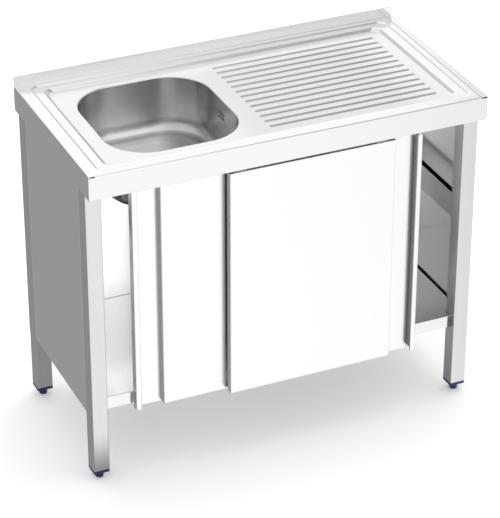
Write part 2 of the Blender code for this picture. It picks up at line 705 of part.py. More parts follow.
def build_leg(position, x, y):
    """A leg tube with its end plug and its screw foot."""
    tube = make_tube(LEG_SIZE, LEG_WALL, LEG_CORNER, LEG_TOP - LEG_BOTTOM)
    add_part("leg_" + position, tube, STEEL, (x, y, LEG_BOTTOM))

    collar = make_box((LEG_SIZE, LEG_SIZE, PLUG_COLLAR - CLEARANCE), (0, 0, -PLUG_COLLAR / 2 - CLEARANCE / 2))
    uprights = [edge for edge in collar.edges if abs(edge.verts[0].co.z - edge.verts[1].co.z) > CLEARANCE]
    bmesh.ops.bevel(
        collar, geom=uprights, offset=LEG_CORNER, segments=2, profile=0.5, affect="EDGES", material=-1
    )
    plug = add_part("leg_plug_" + position, collar, BLUE_PLASTIC, (x, y, LEG_BOTTOM))
    insert_size = LEG_SIZE - 2 * LEG_WALL - 2 * CLEARANCE
    insert = make_box((insert_size, insert_size, PLUG_INSERT + PLUG_COLLAR / 2))
    bmesh.ops.translate(insert, verts=insert.verts, vec=(0, 0, PLUG_INSERT / 2 - PLUG_COLLAR / 4))
    add_boolean(plug, add_cutter("plug_insert_" + position, insert, plug.location), "UNION")
    stem_hole = make_cylinder(STEM_DIAMETER / 2 + CLEARANCE, -2 * PLUG_COLLAR, 2 * PLUG_INSERT)
    add_boolean(plug, add_cutter("plug_hole_" + position, stem_hole, plug.location))

    radius = FOOT_DIAMETER / 2
    stem = STEM_DIAMETER / 2
    head = FOOT_HEIGHT - CLEARANCE
    profile = [
        (0, head + STEM_LENGTH),
        (stem, head + STEM_LENGTH),
        (stem, head),
        (radius - FOOT_EDGE, head),
        (radius, head - FOOT_EDGE),
        (radius, FOOT_EDGE),
        (radius - FOOT_EDGE, 0),
        (0, 0),
    ]
    turn_profile("foot_" + position, profile, BLUE_PLASTIC, (x, y, 0))


def build_legs():
    """Four legs, named by their place."""
    front = LEG_FRONT_Y + LEG_SIZE / 2
    rear = LEG_REAR_Y - LEG_SIZE / 2
    for row, y in (("front", front), ("rear", rear)):
        for end, side in (("left", -1), ("right", 1)):
            build_leg(row + "_" + end, side * LEG_CENTRE_X, y)


def build_top_rails():
    """Square tubes between the legs, under the plate."""
    middle = (RAIL_BOTTOM + RAIL_TOP) / 2
    across = 2 * (LEG_INNER_X - CLEARANCE)
    along = REAR_LEG_FRONT_Y - FRONT_LEG_BACK_Y - 2 * CLEARANCE
    rows = (("front", LEG_FRONT_Y + RAIL_SIZE / 2), ("rear", LEG_REAR_Y - RAIL_SIZE / 2))
    for row, y in rows:
        rail = make_tube(RAIL_SIZE, RAIL_WALL, LEG_CORNER, across)
        turned = Matrix.Rotation(math.pi / 2, 4, "Y") @ Matrix.Translation((0, 0, -across / 2))
        bmesh.ops.transform(rail, matrix=turned, verts=rail.verts)
        add_part("top_rail_" + row, rail, STEEL, (0, y, middle))
    for end, side in (("left", -1), ("right", 1)):
        rail = make_tube(RAIL_SIZE, RAIL_WALL, LEG_CORNER, along)
        turned = Matrix.Rotation(math.pi / 2, 4, "X") @ Matrix.Translation((0, 0, -along / 2))
        bmesh.ops.transform(rail, matrix=turned, verts=rail.verts)
        y = (FRONT_LEG_BACK_Y + REAR_LEG_FRONT_Y) / 2
        add_part("top_rail_" + end, rail, STEEL, (side * (LEG_OUTER_X - RAIL_SIZE / 2), y, middle))


def build_mid_rails():
    """Folded rails, open at the top, flush with the inner faces of the legs."""
    length = REAR_LEG_FRONT_Y - FRONT_LEG_BACK_Y - 2 * CLEARANCE
    top = MID_RAIL_BOTTOM + MID_RAIL_HEIGHT
    for end, side in (("left", -1), ("right", 1)):
        inner = side * LEG_INNER_X
        outer = inner + side * MID_RAIL_WIDTH
        profile = [(inner, top), (inner, MID_RAIL_BOTTOM), (outer, MID_RAIL_BOTTOM), (outer, top)]
        bm = make_folded_sheet(profile, length, "Y", (0, 0, -1))
        rail = add_part("mid_rail_" + end, bm, STEEL, (0, (FRONT_LEG_BACK_Y + REAR_LEG_FRONT_Y) / 2, 0))
        add_thickness(rail)


def build_side_panels():
    """Panels flush with the outer faces of the legs, folded in at the legs and below."""
    front = FRONT_LEG_BACK_Y + CLEARANCE
    rear = REAR_LEG_FRONT_Y - CLEARANCE
    for end, side in (("left", -1), ("right", 1)):
        bm = bmesh.new()
        verts = [bm.verts.new((0, y, z)) for y, z in ((front, 0), (rear, 0), (rear, 1), (front, 1))]
        for vert in verts:
            vert.co.z = PANEL_TOP if vert.co.z else PANEL_BOTTOM
        face = bm.faces.new(verts)
        folded = [edge for edge in face.edges if not all(vert.co.z == PANEL_TOP for vert in edge.verts)]
        folded = [edge for edge in folded if any(vert.co.z != PANEL_TOP for vert in edge.verts)]
        geometry = bmesh.ops.extrude_edge_only(bm, edges=folded)["geom"]
        moved = [item for item in geometry if isinstance(item, bmesh.types.BMVert)]
        bmesh.ops.translate(bm, verts=moved, vec=(-side * PANEL_FLANGE, 0, 0))
        turn_towards(bm, (side, 0, 0))
        round_folds(bm)
        panel = add_part("side_panel_" + end, bm, STEEL, (side * LEG_OUTER_X, 0, 0))
        add_thickness(panel)


def build_back_panel():
    """Flat sheet on the backs of the rear legs."""
    size = (2 * LEG_OUTER_X, SHEET, PANEL_TOP - PANEL_BOTTOM)
    centre = (0, LEG_REAR_Y + CLEARANCE + SHEET / 2, (PANEL_TOP + PANEL_BOTTOM) / 2)
    add_part("back_panel", make_box(size), STEEL, centre)


def build_shelf():
    """Folded shelf with a lip all round, notched at the legs."""
    waist_x = LEG_INNER_X - CLEARANCE
    wing_x = LEG_OUTER_X - SHEET - SHELF_SIDE_GAP
    wing_front = FRONT_LEG_BACK_Y + 2 * CLEARANCE + SHEET
    wing_rear = REAR_LEG_FRONT_Y - 2 * CLEARANCE - SHEET
    rear = LEG_REAR_Y
    half = [
        (waist_x, SHELF_FRONT_Y),
        (waist_x, wing_front),
        (wing_x, wing_front),
        (wing_x, wing_rear),
        (waist_x, wing_rear),
        (waist_x, rear),
    ]
    outline = half + [(-x, y) for x, y in reversed(half)]
    bm = bmesh.new()
    face = bm.faces.new([bm.verts.new((x, y, SHELF_TOP)) for x, y in outline])
    geometry = bmesh.ops.extrude_edge_only(bm, edges=face.edges[:])["geom"]
    moved = [item for item in geometry if isinstance(item, bmesh.types.BMVert)]
    bmesh.ops.translate(bm, verts=moved, vec=(0, 0, -SHELF_LIP))
    turn_towards(bm, (0, 0, 1))
    rims = [edge for edge in bm.edges if all(vert.co.z == SHELF_TOP for vert in edge.verts)]
    bmesh.ops.bevel(bm, geom=rims, offset=BEND, segments=2, profile=0.5, affect="EDGES", material=-1)
    shelf = add_part("bottom_shelf", bm, STEEL)
    add_thickness(shelf)


def hat_profile():
    """Hat section hanging from z = 0, as (across, z)."""
    half = HAT_WIDTH / 2
    return [
        (-half - HAT_FLANGE, 0),
        (-half, 0),
        (-half, -HAT_HEIGHT),
        (half, -HAT_HEIGHT),
        (half, 0),
        (half + HAT_FLANGE, 0),
    ]


def build_stiffeners():
    """Hat sections under the drainer, front to back, and under the shelf, end to end."""
    front = LEG_FRONT_Y + RAIL_SIZE + CLEARANCE
    rear = LEG_REAR_Y - RAIL_SIZE - CLEARANCE
    left = BOWL_CENTRE_X + BOWL_WIDTH / 2 + GROOVE_BOWL_GAP
    right = RECESS_HALF_X - GROOVE_END_MARGIN
    height = RECESS_FLOOR - GROOVE_DEPTH - SHEET - CLEARANCE
    bm = make_folded_sheet(hat_profile(), rear - front, "Y", (0, 0, 1))
    drainer = add_part("drainer_stiffener", bm, STEEL, ((left + right) / 2, (front + rear) / 2, height))
    add_thickness(drainer)

    span = 2 * (LEG_OUTER_X - 2 * SHEET - SHELF_SIDE_GAP - CLEARANCE)
    middle = (SHELF_FRONT_Y + LEG_REAR_Y) / 2
    bm = make_folded_sheet(hat_profile(), span, "X", (0, 0, 1))
    shelf = add_part("shelf_stiffener", bm, STEEL, (0, middle, SHELF_TOP - SHEET - CLEARANCE))
    add_thickness(shelf)


def build_track():
    """Double track between the front legs: two channels with a slot below each."""
    half_slot = TRACK_SLOT / 2
    half_channel = (DOOR_PITCH - TRACK_WALL) / 2
    floor = TRACK_BOTTOM + TRACK_WALL
    roof = TRACK_TOP - TRACK_WALL
    middles = (track_middle(FRONT_DOOR_Y), track_middle(REAR_DOOR_Y))
    front = middles[0] - half_channel - TRACK_WALL
    rear = middles[1] + half_channel + TRACK_WALL
    outline = [(front, TRACK_BOTTOM)]
    for y in middles:
        outline += [
            (y - half_slot, TRACK_BOTTOM),
            (y - half_slot, floor),
            (y - half_channel, floor),
            (y - half_channel, roof),
            (y + half_channel, roof),
            (y + half_channel, floor),
            (y + half_slot, floor),
            (y + half_slot, TRACK_BOTTOM),
        ]
    outline += [(rear, TRACK_BOTTOM), (rear, TRACK_TOP), (front, TRACK_TOP)]
    length = 2 * (LEG_INNER_X - CLEARANCE)
    add_part("door_track", make_prism(outline, length, "X"), STEEL)


def track_middle(door_y):
    """Middle plane of a door and of its track channel."""
    return door_y + DOOR_THICKNESS / 2


def door_surface(side):
    """Visible side of a door; side is where the pull is, -1 left or 1 right.

    In plan from the pull side: return, strip, finger channel, face and return, with flanges
    behind the top and the foot of the face.
    """
    depth = DOOR_THICKNESS - SHEET
    channel_end = PULL_STRIP + PULL_CHANNEL
    plan = [
        (0, depth),
        (0, 0),
        (PULL_STRIP, 0),
        (PULL_STRIP, depth),
        (channel_end, depth),
        (channel_end, 0),
        (DOOR_WIDTH, 0),
        (DOOR_WIDTH, depth),
    ]
    bm = bmesh.new()
    verts = [bm.verts.new((x, y, DOOR_BOTTOM)) for x, y in plan]
    edges = [bm.edges.new(pair) for pair in zip(verts, verts[1:])]
    geometry = bmesh.ops.extrude_edge_only(bm, edges=edges)["geom"]
    upper = [item for item in geometry if isinstance(item, bmesh.types.BMVert)]
    bmesh.ops.translate(bm, verts=upper, vec=(0, 0, DOOR_TOP - DOOR_BOTTOM))
    bm.edges.ensure_lookup_table()
    flat = [edge for edge in bm.edges if all(vert.co.y == 0 and vert.co.x > PULL_STRIP for vert in edge.verts)]
    flat = [edge for edge in flat if edge.verts[0].co.z == edge.verts[1].co.z]
    geometry = bmesh.ops.extrude_edge_only(bm, edges=flat)["geom"]
    flange = [item for item in geometry if isinstance(item, bmesh.types.BMVert)]
    bmesh.ops.translate(bm, verts=flange, vec=(0, depth, 0))
    bmesh.ops.remove_doubles(bm, verts=bm.verts, dist=0.000001)
    bmesh.ops.scale(bm, vec=(-side, 1, 1), verts=bm.verts)
    turn_towards(bm, (0, -1, 0))
    round_folds(bm)
    return bm


def build_hanger(name, carriage, x, door_y):
    """Bracket on the door's top flange with a wheel set on its axle."""
    middle = track_middle(door_y)
    foot_top = DOOR_TOP + CLEARANCE + HANGER_PLATE
    half = HANGER_PLATE / 2
    outline = [
        (-half, DOOR_TOP + CLEARANCE),
        (half + HANGER_FOOT, DOOR_TOP + CLEARANCE),
        (half + HANGER_FOOT, foot_top),
        (half, foot_top),
        (half, AXLE_HEIGHT + HANGER_HEAD),
        (-half, AXLE_HEIGHT + HANGER_HEAD),
    ]
    bracket = make_prism(outline, HANGER_LENGTH, "X")
    hanger = add_part("door_hanger_" + name, bracket, STEEL, (x, middle, 0), carriage)
    hole = make_cylinder(AXLE_DIAMETER / 2 + CLEARANCE, -HANGER_PLATE, HANGER_PLATE, "Y", (0, AXLE_HEIGHT))
    add_boolean(hanger, add_cutter("hanger_hole_" + name, hole, (x, middle, 0)))

    near = half + WHEEL_SIDE_GAP
    far = near + WHEEL_WIDTH
    axle = AXLE_DIAMETER / 2
    wheel = WHEEL_DIAMETER / 2
    profile = [
        (0, far),
        (wheel, far),
        (wheel, near),
        (axle, near),
        (axle, -near),
        (wheel, -near),
        (wheel, -far),
        (0, -far),
    ]
    turn_profile("door_roller_" + name, profile, WHITE_NYLON, (x, middle, AXLE_HEIGHT), "Y", carriage)


def build_door(name, side, door_y, opened):
    """A door with its two hangers and the stops of its travel, shown partly open."""
    closed_edge = side * (LEG_INNER_X - DOOR_SIDE_GAP)
    edge = closed_edge - side * opened
    carriage = add_empty("door_carriage_" + name, (edge, door_y, 0))
    door = add_part("door_" + name, door_surface(side), STEEL, carriage.location, carriage)
    add_thickness(door)

    pull_hanger = PULL_STRIP + PULL_CHANNEL + HANGER_INSET
    far_hanger = DOOR_WIDTH - HANGER_INSET
    build_hanger(name + "_outer", carriage, edge - side * pull_hanger, door_y)
    build_hanger(name + "_inner", carriage, edge - side * far_hanger, door_y)

    stop_height = TRACK_HEIGHT - 2 * TRACK_WALL - 2 * CLEARANCE
    stop_size = (STOP_LENGTH, DOOR_PITCH - TRACK_WALL - 2 * CLEARANCE, stop_height)
    stop_z = TRACK_BOTTOM + TRACK_HEIGHT / 2
    reach = HANGER_LENGTH / 2 + STOP_GAP + STOP_LENGTH / 2
    shut_x = closed_edge - side * (pull_hanger - reach)
    wide_x = -closed_edge + side * (DOOR_WIDTH - far_hanger - reach)
    for position, x in (("shut", shut_x), ("open", wide_x)):
        block = make_box(stop_size, edge=STOP_GAP)
        add_part("track_stop_" + name + "_" + position, block, WHITE_NYLON, (x, track_middle(door_y), stop_z))


def build_guide():
    """Bracket behind the shelf lip that passes under the rear door, with a fin between the doors."""
    leaf = SHELF_FRONT_Y + SHEET + CLEARANCE + GUIDE_SHEET
    fin = REAR_DOOR_Y - DOOR_SPACING / 2 - GUIDE_SHEET / 2
    low = DOOR_BOTTOM - GUIDE_DROP - GUIDE_SHEET
    profile = [
        (leaf, SHELF_TOP - SHELF_LIP + GUIDE_LEAF),
        (leaf, low),
        (fin, low),
        (fin, DOOR_BOTTOM + GUIDE_FIN),
    ]
    bm = make_folded_sheet(profile, GUIDE_LENGTH, "X", (0, 0, -1))
    guide = add_part("door_guide", bm, STEEL)
    add_thickness(guide, GUIDE_SHEET)


def build():
    """The whole cabinet."""
    build_sink_top()
    build_side_apron("side_apron_left", -1)
    build_side_apron("side_apron_right", 1)
    build_bowl()
    build_overflow_elbow()
    build_waste()
    build_legs()
    build_top_rails()
    build_mid_rails()
    build_side_panels()
    build_back_panel()
    build_shelf()
    build_stiffeners()
    build_track()
    build_door("left", -1, REAR_DOOR_Y, LEFT_DOOR_OPENED)
    build_door("right", 1, FRONT_DOOR_Y, RIGHT_DOOR_OPENED)
    build_guide()


build()
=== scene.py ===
import math

import bmesh
import bpy
from mathutils import Matrix, Vector


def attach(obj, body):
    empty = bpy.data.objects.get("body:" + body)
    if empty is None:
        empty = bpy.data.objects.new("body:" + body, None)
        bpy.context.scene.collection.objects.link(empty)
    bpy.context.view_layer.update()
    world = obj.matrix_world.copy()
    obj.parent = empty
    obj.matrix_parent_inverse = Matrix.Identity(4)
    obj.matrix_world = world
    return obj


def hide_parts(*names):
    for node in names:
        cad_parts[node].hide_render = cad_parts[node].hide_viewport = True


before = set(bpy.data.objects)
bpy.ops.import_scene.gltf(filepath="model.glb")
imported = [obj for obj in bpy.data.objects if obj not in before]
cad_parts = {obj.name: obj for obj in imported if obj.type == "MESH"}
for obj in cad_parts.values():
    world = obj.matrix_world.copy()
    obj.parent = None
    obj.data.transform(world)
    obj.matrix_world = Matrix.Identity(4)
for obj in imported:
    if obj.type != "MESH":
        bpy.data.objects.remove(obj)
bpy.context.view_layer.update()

scene = bpy.context.scene
print("frame loaded", len(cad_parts), "nodes")


# small helpers for meshes

meshing = {"near": 0.0001, "join": 0.000001, "joinTurned": 0.000005, "foldAngle": 0.6}


def near(first, second):
    return abs(first - second) < meshing["near"]


def smoothStep(share):
    return share * share * (3 - 2 * share)


def vertsIn(geometry):
    return [item for item in geometry if isinstance(item, bmesh.types.BMVert)]


def edgesOf(verts):
    return list(dict.fromkeys(edge for vert in verts for edge in vert.link_edges))


def placed(centre, size):
    return Matrix.Translation(centre) @ Matrix.Diagonal((*size, 1))


def addBox(bm, centre, size):
    bmesh.ops.create_cube(bm, size=1.0, matrix=placed(centre, size))


def addSheet(bm, place):
    return bmesh.ops.create_grid(bm, x_segments=1, y_segments=1, size=0.5, matrix=place)["verts"]


def addCircle(bm, radius, segments, place, filled=False):
    return bmesh.ops.create_circle(bm, cap_ends=filled, radius=radius, segments=segments,
                                   matrix=place)["verts"]


def roundCorners(bm, verts, radius, segments):
    bmesh.ops.bevel(bm, geom=verts, offset=radius, segments=segments, profile=0.5,
                    affect="VERTICES", material=-1)


def roundEdges(bm, edges, radius, segments=4):
    bmesh.ops.bevel(bm, geom=edges, offset=radius, segments=segments, profile=0.5,
                    affect="EDGES", material=-1)


def roundFolds(bm, radius, only=None):
    folds = [edge for edge in bm.edges
             if len(edge.link_faces) == 2 and edge.calc_face_angle() > meshing["foldAngle"]]
    if only:
        folds = [edge for edge in folds if only(edge)]
    roundEdges(bm, folds, radius)


def ringLoop(bm, halfX, halfY, corner, centre, z, segments=10, cuts=0):
    # the edges of a rectangle with rounded corners
    oldFaces = set(bm.faces)
    oldEdges = set(bm.edges)
    corners = addSheet(bm, placed((*centre, z), (2 * halfX, 2 * halfY, 1)))
    roundCorners(bm, corners, corner, segments)
    face = [item for item in bm.faces if item not in oldFaces][0]
    edges = face.edges[:]
    bmesh.ops.delete(bm, geom=[face], context="FACES_ONLY")
    if cuts:
        straight = sorted(edges, key=lambda edge: -edge.calc_length())[:4]
        bmesh.ops.subdivide_edges(bm, edges=straight, cuts=cuts)
        edges = [edge for edge in bm.edges if edge not in oldEdges]
    return edges


def circleLoop(bm, radius, centre, z, segments, turn):
    place = Matrix.Translation((*centre, z)) @ Matrix.Rotation(turn, 4, "Z")
    return edgesOf(addCircle(bm, radius, segments, place))


def slotLoop(bm, left, right, halfWidth, y, z, segments=16):
    # a circle pulled apart along X into a slot with round ends
    place = Matrix.Translation((0, y, z)) @ Matrix.Rotation(math.pi / segments, 4, "Z")
    verts = addCircle(bm, halfWidth, segments, place)
    rightVerts = [vert for vert in verts if vert.co.x > 0]
    leftVerts = [vert for vert in verts if vert.co.x < 0]
    bmesh.ops.translate(bm, verts=rightVerts, vec=(right - halfWidth, 0, 0))
    bmesh.ops.translate(bm, verts=leftVerts, vec=(left + halfWidth, 0, 0))
    return edgesOf(verts)


def bridge(bm, loops):
    for first, second in zip(loops, loops[1:]):
        bmesh.ops.bridge_loops(bm, edges=first + second)


def faceTowards(bm, direction):
    bmesh.ops.recalc_face_normals(bm, faces=bm.faces)
    direction = Vector(direction)
    if sum(face.calc_area() * face.normal.dot(direction) for face in bm.faces) < 0:
        bmesh.ops.reverse_faces(bm, faces=bm.faces)


def sweepEdge(bm, edge, path):
    # push an edge that runs along X through (y, z) points
    for y, z in path:
        verts = vertsIn(bmesh.ops.extrude_edge_only(bm, edges=[edge])["geom"])
        for vert in verts:
            vert.co.y = y
            vert.co.z = z
        edge = bm.edges.get(verts)


def pushEdges(bm, edges, vec):
    moved = vertsIn(bmesh.ops.extrude_edge_only(bm, edges=edges)["geom"])
    bmesh.ops.translate(bm, verts=moved, vec=vec)


def pushFaces(bm, faces, vec):
    moved = vertsIn(bmesh.ops.extrude_face_region(bm, geom=faces)["geom"])
    bmesh.ops.translate(bm, verts=moved, vec=vec)


def wire(bm, points):
    verts = [bm.verts.new(point) for point in points]
    return verts, [bm.edges.new(pair) for pair in zip(verts, verts[1:])]


def foldedStrip(profile, start, end):
    # an open profile of (x, z) points pushed out along Y
    bm = bmesh.new()
    edges = wire(bm, [(x, start, z) for x, z in profile])[1]
    pushEdges(bm, edges, (0, end - start, 0))
    return bm


def spun(bm, points, centre, axis, steps):
    verts, edges = wire(bm, points)
    bmesh.ops.spin(bm, geom=verts + edges, cent=centre, axis=axis, angle=2 * math.pi,
                   steps=steps, use_merge=True)


def turned(bm, profile, centre, steps):
    # (radius, z) points spun about the upright through the centre
    points = [(centre[0] + radius, centre[1], z) for radius, z in profile]
    spun(bm, points, (*centre, 0), (0, 0, 1), steps)
    bmesh.ops.remove_doubles(bm, verts=bm.verts, dist=meshing["joinTurned"])
    bmesh.ops.recalc_face_normals(bm, faces=bm.faces)


# from meshes to pieces

def meshObject(name, bm):
    mesh = bpy.data.meshes.new(name)
    bm.to_mesh(mesh)
    bm.free()
    obj = bpy.data.objects.new(name, mesh)
    scene.collection.objects.link(obj)
    return obj


def bakeModifiers(obj):
    graph = bpy.context.evaluated_depsgraph_get()
    baked = bpy.data.meshes.new_from_object(obj.evaluated_get(graph))
    obj.modifiers.clear()
    old = obj.data
    obj.data = baked
    bpy.data.meshes.remove(old)


def dropCutter(cutter):
    mesh = cutter.data
    bpy.data.objects.remove(cutter, do_unlink=True)
    bpy.data.meshes.remove(mesh)


def makePiece(name, bm, finish, body="cabinet", nodes=(),
              sheet=0.0, cutters=(), sharp=40):
    obj = meshObject(name, bm)
    obj.data.materials.append(finish)
    if sheet:
        solid = obj.modifiers.new("sheet", "SOLIDIFY")
        solid.thickness = sheet
        solid.offset = -1.0
        solid.use_even_offset = True
        solid.use_quality_normals = True
    for cutter in cutters:
        cut = obj.modifiers.new("cut", "BOOLEAN")
        cut.operation = "DIFFERENCE"
        cut.solver = "EXACT"
        cut.object = cutter
    if sheet or cutters:
        bakeModifiers(obj)
    for cutter in cutters:
        dropCutter(cutter)
    obj.data.shade_smooth()
    obj.data.set_sharp_from_angle(angle=math.radians(sharp))
    weigh = obj.modifiers.new("flat faces", "WEIGHTED_NORMAL")
    weigh.keep_sharp = True
    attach(obj, body)
    if nodes:
        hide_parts(*nodes)


# small helpers for nodes

def grey(level, cool=0.0):
    # a level of grey, a little towards blue when cool
    return (level * (1 - cool), level, level * (1 + 0.5 * cool), 1.0)


def feed(tree, socket, value):
    # a socket takes a link or a plain value
    if hasattr(value, "is_linked"):
        tree.links.new(value, socket)
    else:
        socket.default_value = value


def mathNode(tree, operation, *values):
    node = tree.nodes.new("ShaderNodeMath")
    node.operation = operation
    for socket, value in zip(node.inputs, values):
        feed(tree, socket, value)
    return node.outputs["Value"]


def mapRange(tree, value, span, reach=(0.0, 1.0), soft=False):
    # a span of values brought to a reach, and kept within it
    node = tree.nodes.new("ShaderNodeMapRange")
    if soft:
        node.interpolation_type = "SMOOTHSTEP"
    labels = ("Value", "From Min", "From Max", "To Min", "To Max")
    for label, given in zip(labels, (value, *span, *reach)):
        feed(tree, node.inputs[label], given)
    return node.outputs["Result"]


def mixColour(tree, share, first, second, blend="MIX"):
    node = tree.nodes.new("ShaderNodeMix")
    node.data_type = "RGBA"
    node.blend_type = blend
    for label, given in (("Factor", share), ("A", first), ("B", second)):
        feed(tree, node.inputs[label], given)
    return node.outputs["Result"]


def noise(tree, place, scale, detail):
    node = tree.nodes.new("ShaderNodeTexNoise")
    for label, given in (("Vector", place), ("Scale", scale), ("Detail", detail)):
        feed(tree, node.inputs[label], given)
    return node.outputs["Fac"]


def levelRamp(tree, value, stops):
    # an eased run of grey levels over 0 to 1
    ramp = tree.nodes.new("ShaderNodeValToRGB")
    ramp.color_ramp.interpolation = "EASE"
    spots = ramp.color_ramp.elements
    while len(spots) < len(stops):
        spots.new(0.5)
    for spot, (position, level) in zip(spots, stops):
        spot.position = position
        spot.color = grey(level)
    tree.links.new(value, ramp.inputs["Fac"])
    return ramp.outputs["Color"]


def splitPlace(tree, kind):
    place = tree.nodes.new("ShaderNodeTexCoord")
    axes = tree.nodes.new("ShaderNodeSeparateXYZ")
    tree.links.new(place.outputs[kind], axes.inputs["Vector"])
    return axes.outputs


def awayFrom(tree, axes, middle):
    # distances from a point in plan, along X and along Y
    return [mathNode(tree, "ABSOLUTE", mathNode(tree, "SUBTRACT", axes[axis], centre))
            for axis, centre in zip("XY", middle)]


def withinPlan(tree, axes, middle, solid, clear):
    # 1 inside a rectangle seen from above, falling to 0 at the outer one
    shares = [mapRange(tree, away, (outer, inner), soft=True)
              for away, inner, outer in zip(awayFrom(tree, axes, middle), solid, clear)]
    return mathNode(tree, "MULTIPLY", *shares)


# finishes

def openGroup(name, extras):
    # a shared effect with tones and roughness in, and colour, roughness and height out
    colour, number = "NodeSocketColor", "NodeSocketFloat"
    inputs = extras + [("Light Tone", colour), ("Dark Tone", colour),
                       ("Rough Low", number), ("Rough High", number)]
    outputs = [("Colour", colour), ("Roughness", number), ("Height", number)]
    group = bpy.data.node_groups.new(name, "ShaderNodeTree")
    for side, sockets in (("INPUT", inputs), ("OUTPUT", outputs)):
        for label, kind in sockets:
            group.interface.new_socket(name=label, in_out=side, socket_type=kind)
    return group, group.nodes.new("NodeGroupInput").outputs


def closeGroup(group, given, toneShare, roughShare, height):
    result = group.nodes.new("NodeGroupOutput")
    tone = mixColour(group, toneShare, given["Dark Tone"], given["Light Tone"])
    rough = mapRange(group, roughShare, (0.0, 1.0), (given["Rough Low"], given["Rough High"]))
    for label, socket in (("Colour", tone), ("Roughness", rough), ("Height", height)):
        group.links.new(socket, result.inputs[label])
    return group


grain = {
    "lineDetail": 2.0, "lineShare": 0.55, "patchDetail": 3.0, "patchShare": 0.45, "spread": (0.3, 0.7),
}
speck = {"detail": 2.0, "flowScale": 45.0}


def buildGrainGroup():
    # drawn lines from the rolling and polishing, with soft cloudy patches over them
    group, given = openGroup("rolledGrain", [("Lines", "NodeSocketVector"), ("Patches", "NodeSocketFloat")])
    place = group.nodes.new("ShaderNodeTexCoord").outputs["Object"]
    stretch = group.nodes.new("ShaderNodeVectorMath")
    stretch.operation = "MULTIPLY"
    group.links.new(place, stretch.inputs[0])
    group.links.new(given["Lines"], stretch.inputs[1])
    lines = noise(group, stretch.outputs["Vector"], 1.0, grain["lineDetail"])
    patches = noise(group, place, given["Patches"], grain["patchDetail"])
    both = mathNode(group, "MULTIPLY_ADD", lines, grain["lineShare"],
                    mathNode(group, "MULTIPLY", patches, grain["patchShare"]))
    spread = mapRange(group, both, grain["spread"])
    return closeGroup(group, given, spread, spread, lines)


def buildSpeckGroup():
    # fine moulded texture of plastics and rubber
    group, given = openGroup("mouldedSkin", [("Scale", "NodeSocketFloat")])
    place = group.nodes.new("ShaderNodeTexCoord").outputs["Object"]
    specks = noise(group, place, given["Scale"], speck["detail"])
    flow = noise(group, place, speck["flowScale"], speck["detail"])
    return closeGroup(group, given, flow, specks, specks)


grainGroup = buildGrainGroup()
speckGroup = buildSpeckGroup()


def makeFinish(name, group, values, metallic, bump, bumpHeight):
    finish = bpy.data.materials.new(name)
    finish.use_nodes = True
    tree = finish.node_tree
    shader = tree.nodes["Principled BSDF"]
    shader.inputs["Metallic"].default_value = metallic
    node = tree.nodes.new("ShaderNodeGroup")
    node.node_tree = group
    for label, value in values.items():
        node.inputs[label].default_value = value
    relief = tree.nodes.new("ShaderNodeBump")
    relief.inputs["Strength"].default_value = bump
    relief.inputs["Distance"].default_value = bumpHeight
    tree.links.new(node.outputs["Colour"], shader.inputs["Base Color"])
    tree.links.new(node.outputs["Roughness"], shader.inputs["Roughness"])
    tree.links.new(node.outputs["Height"], relief.inputs["Height"])
    tree.links.new(relief.outputs["Normal"], shader.inputs["Normal"])
    return finish


# tones are light and dark; painted shades are (height, level) bands of painted shade; plans are middle,
# solid half and clear half
steel = {
    "sheetTones": (0.94, 0.915), "doorTones": (0.995, 0.975), "legTones": (0.76, 0.70),
    "bowlTones": (0.95, 0.90), "wasteTones": (0.80, 0.72), "zincTones": (0.62, 0.50),
    "legCool": 0.012, "zincCool": 0.02,
    "rough": (0.13, 0.17), "doorRough": (0.24, 0.28), "bowlRough": (0.24, 0.27),
    "wasteRough": (0.14, 0.24), "zincRough": (0.35, 0.50),
    "patches": 7.0, "zincPatches": 60.0, "bump": 0.008, "bumpHeight": 0.0002,
    # painted shade: the top steel 6% darker below the recess ledge, over the recess floor, grooves, apron,
    # shelf and back panel
    "recessPaintedShade": [(0.8330, 0.94), (0.8385, 1.0)],
    # painted shade: the drainer floor and grooves 13% darker within the drainer plan, for the grey shading
    # between the grooves
    "drainerPaintedShade": [(0.8260, 1.0), (0.8275, 0.87), (0.8320, 0.87), (0.8350, 1.0)],
    "drainerShadePlan": ((0.13, -0.03), (0.17, 0.165), (0.27, 0.215)),
    # painted shade and painted reflection streaks: a dark band at the foot crease, a bright band above it,
    # then darker walls
    "wallPaintedShadeAndStreaks": [
        (0.6820, 0.95), (0.6835, 0.88), (0.6852, 0.80), (0.6870, 0.57), (0.6900, 0.43),
        (0.6940, 0.56), (0.6985, 0.96), (0.7030, 1.0), (0.7125, 1.0), (0.7170, 0.80),
        (0.7210, 0.68), (0.7270, 0.83), (0.7480, 0.81), (0.7900, 0.77),
    ],
    # painted shade: both end walls of the bowl, away from its middle, darker, most of all near the floor
    "endPaintedShade": [(0.6820, 0.49), (0.6880, 0.55), (0.6960, 0.70), (0.7110, 0.70), (0.7200, 0.90)],
    "endShadeBand": ((-0.245, 0.0), (0.12, 1.0), (0.045, 2.0)),
    # painted shade: the right door's finger-channel wall behind the strip at 55% tone over the door's height
    "channelPaintedShade": [(0.17, 0.55), (0.78, 0.55)],
    "channelShadePlan": ((0.3224, -0.2330), (0.0020, 0.0105), (0.0030, 0.0120)),
}


def makeSteel(name, lines, tones, cool=0.0, rough=steel["rough"], patches=steel["patches"]):
    # lines are how many grain lines a metre has along X, Y and Z
    light, dark = tones
    low, high = rough
    values = {
        "Lines": lines, "Patches": patches,
        "Light Tone": grey(light, cool), "Dark Tone": grey(dark, cool),
        "Rough Low": low, "Rough High": high,
    }
    return makeFinish(name, grainGroup, values, 1.0, steel["bump"], steel["bumpHeight"])


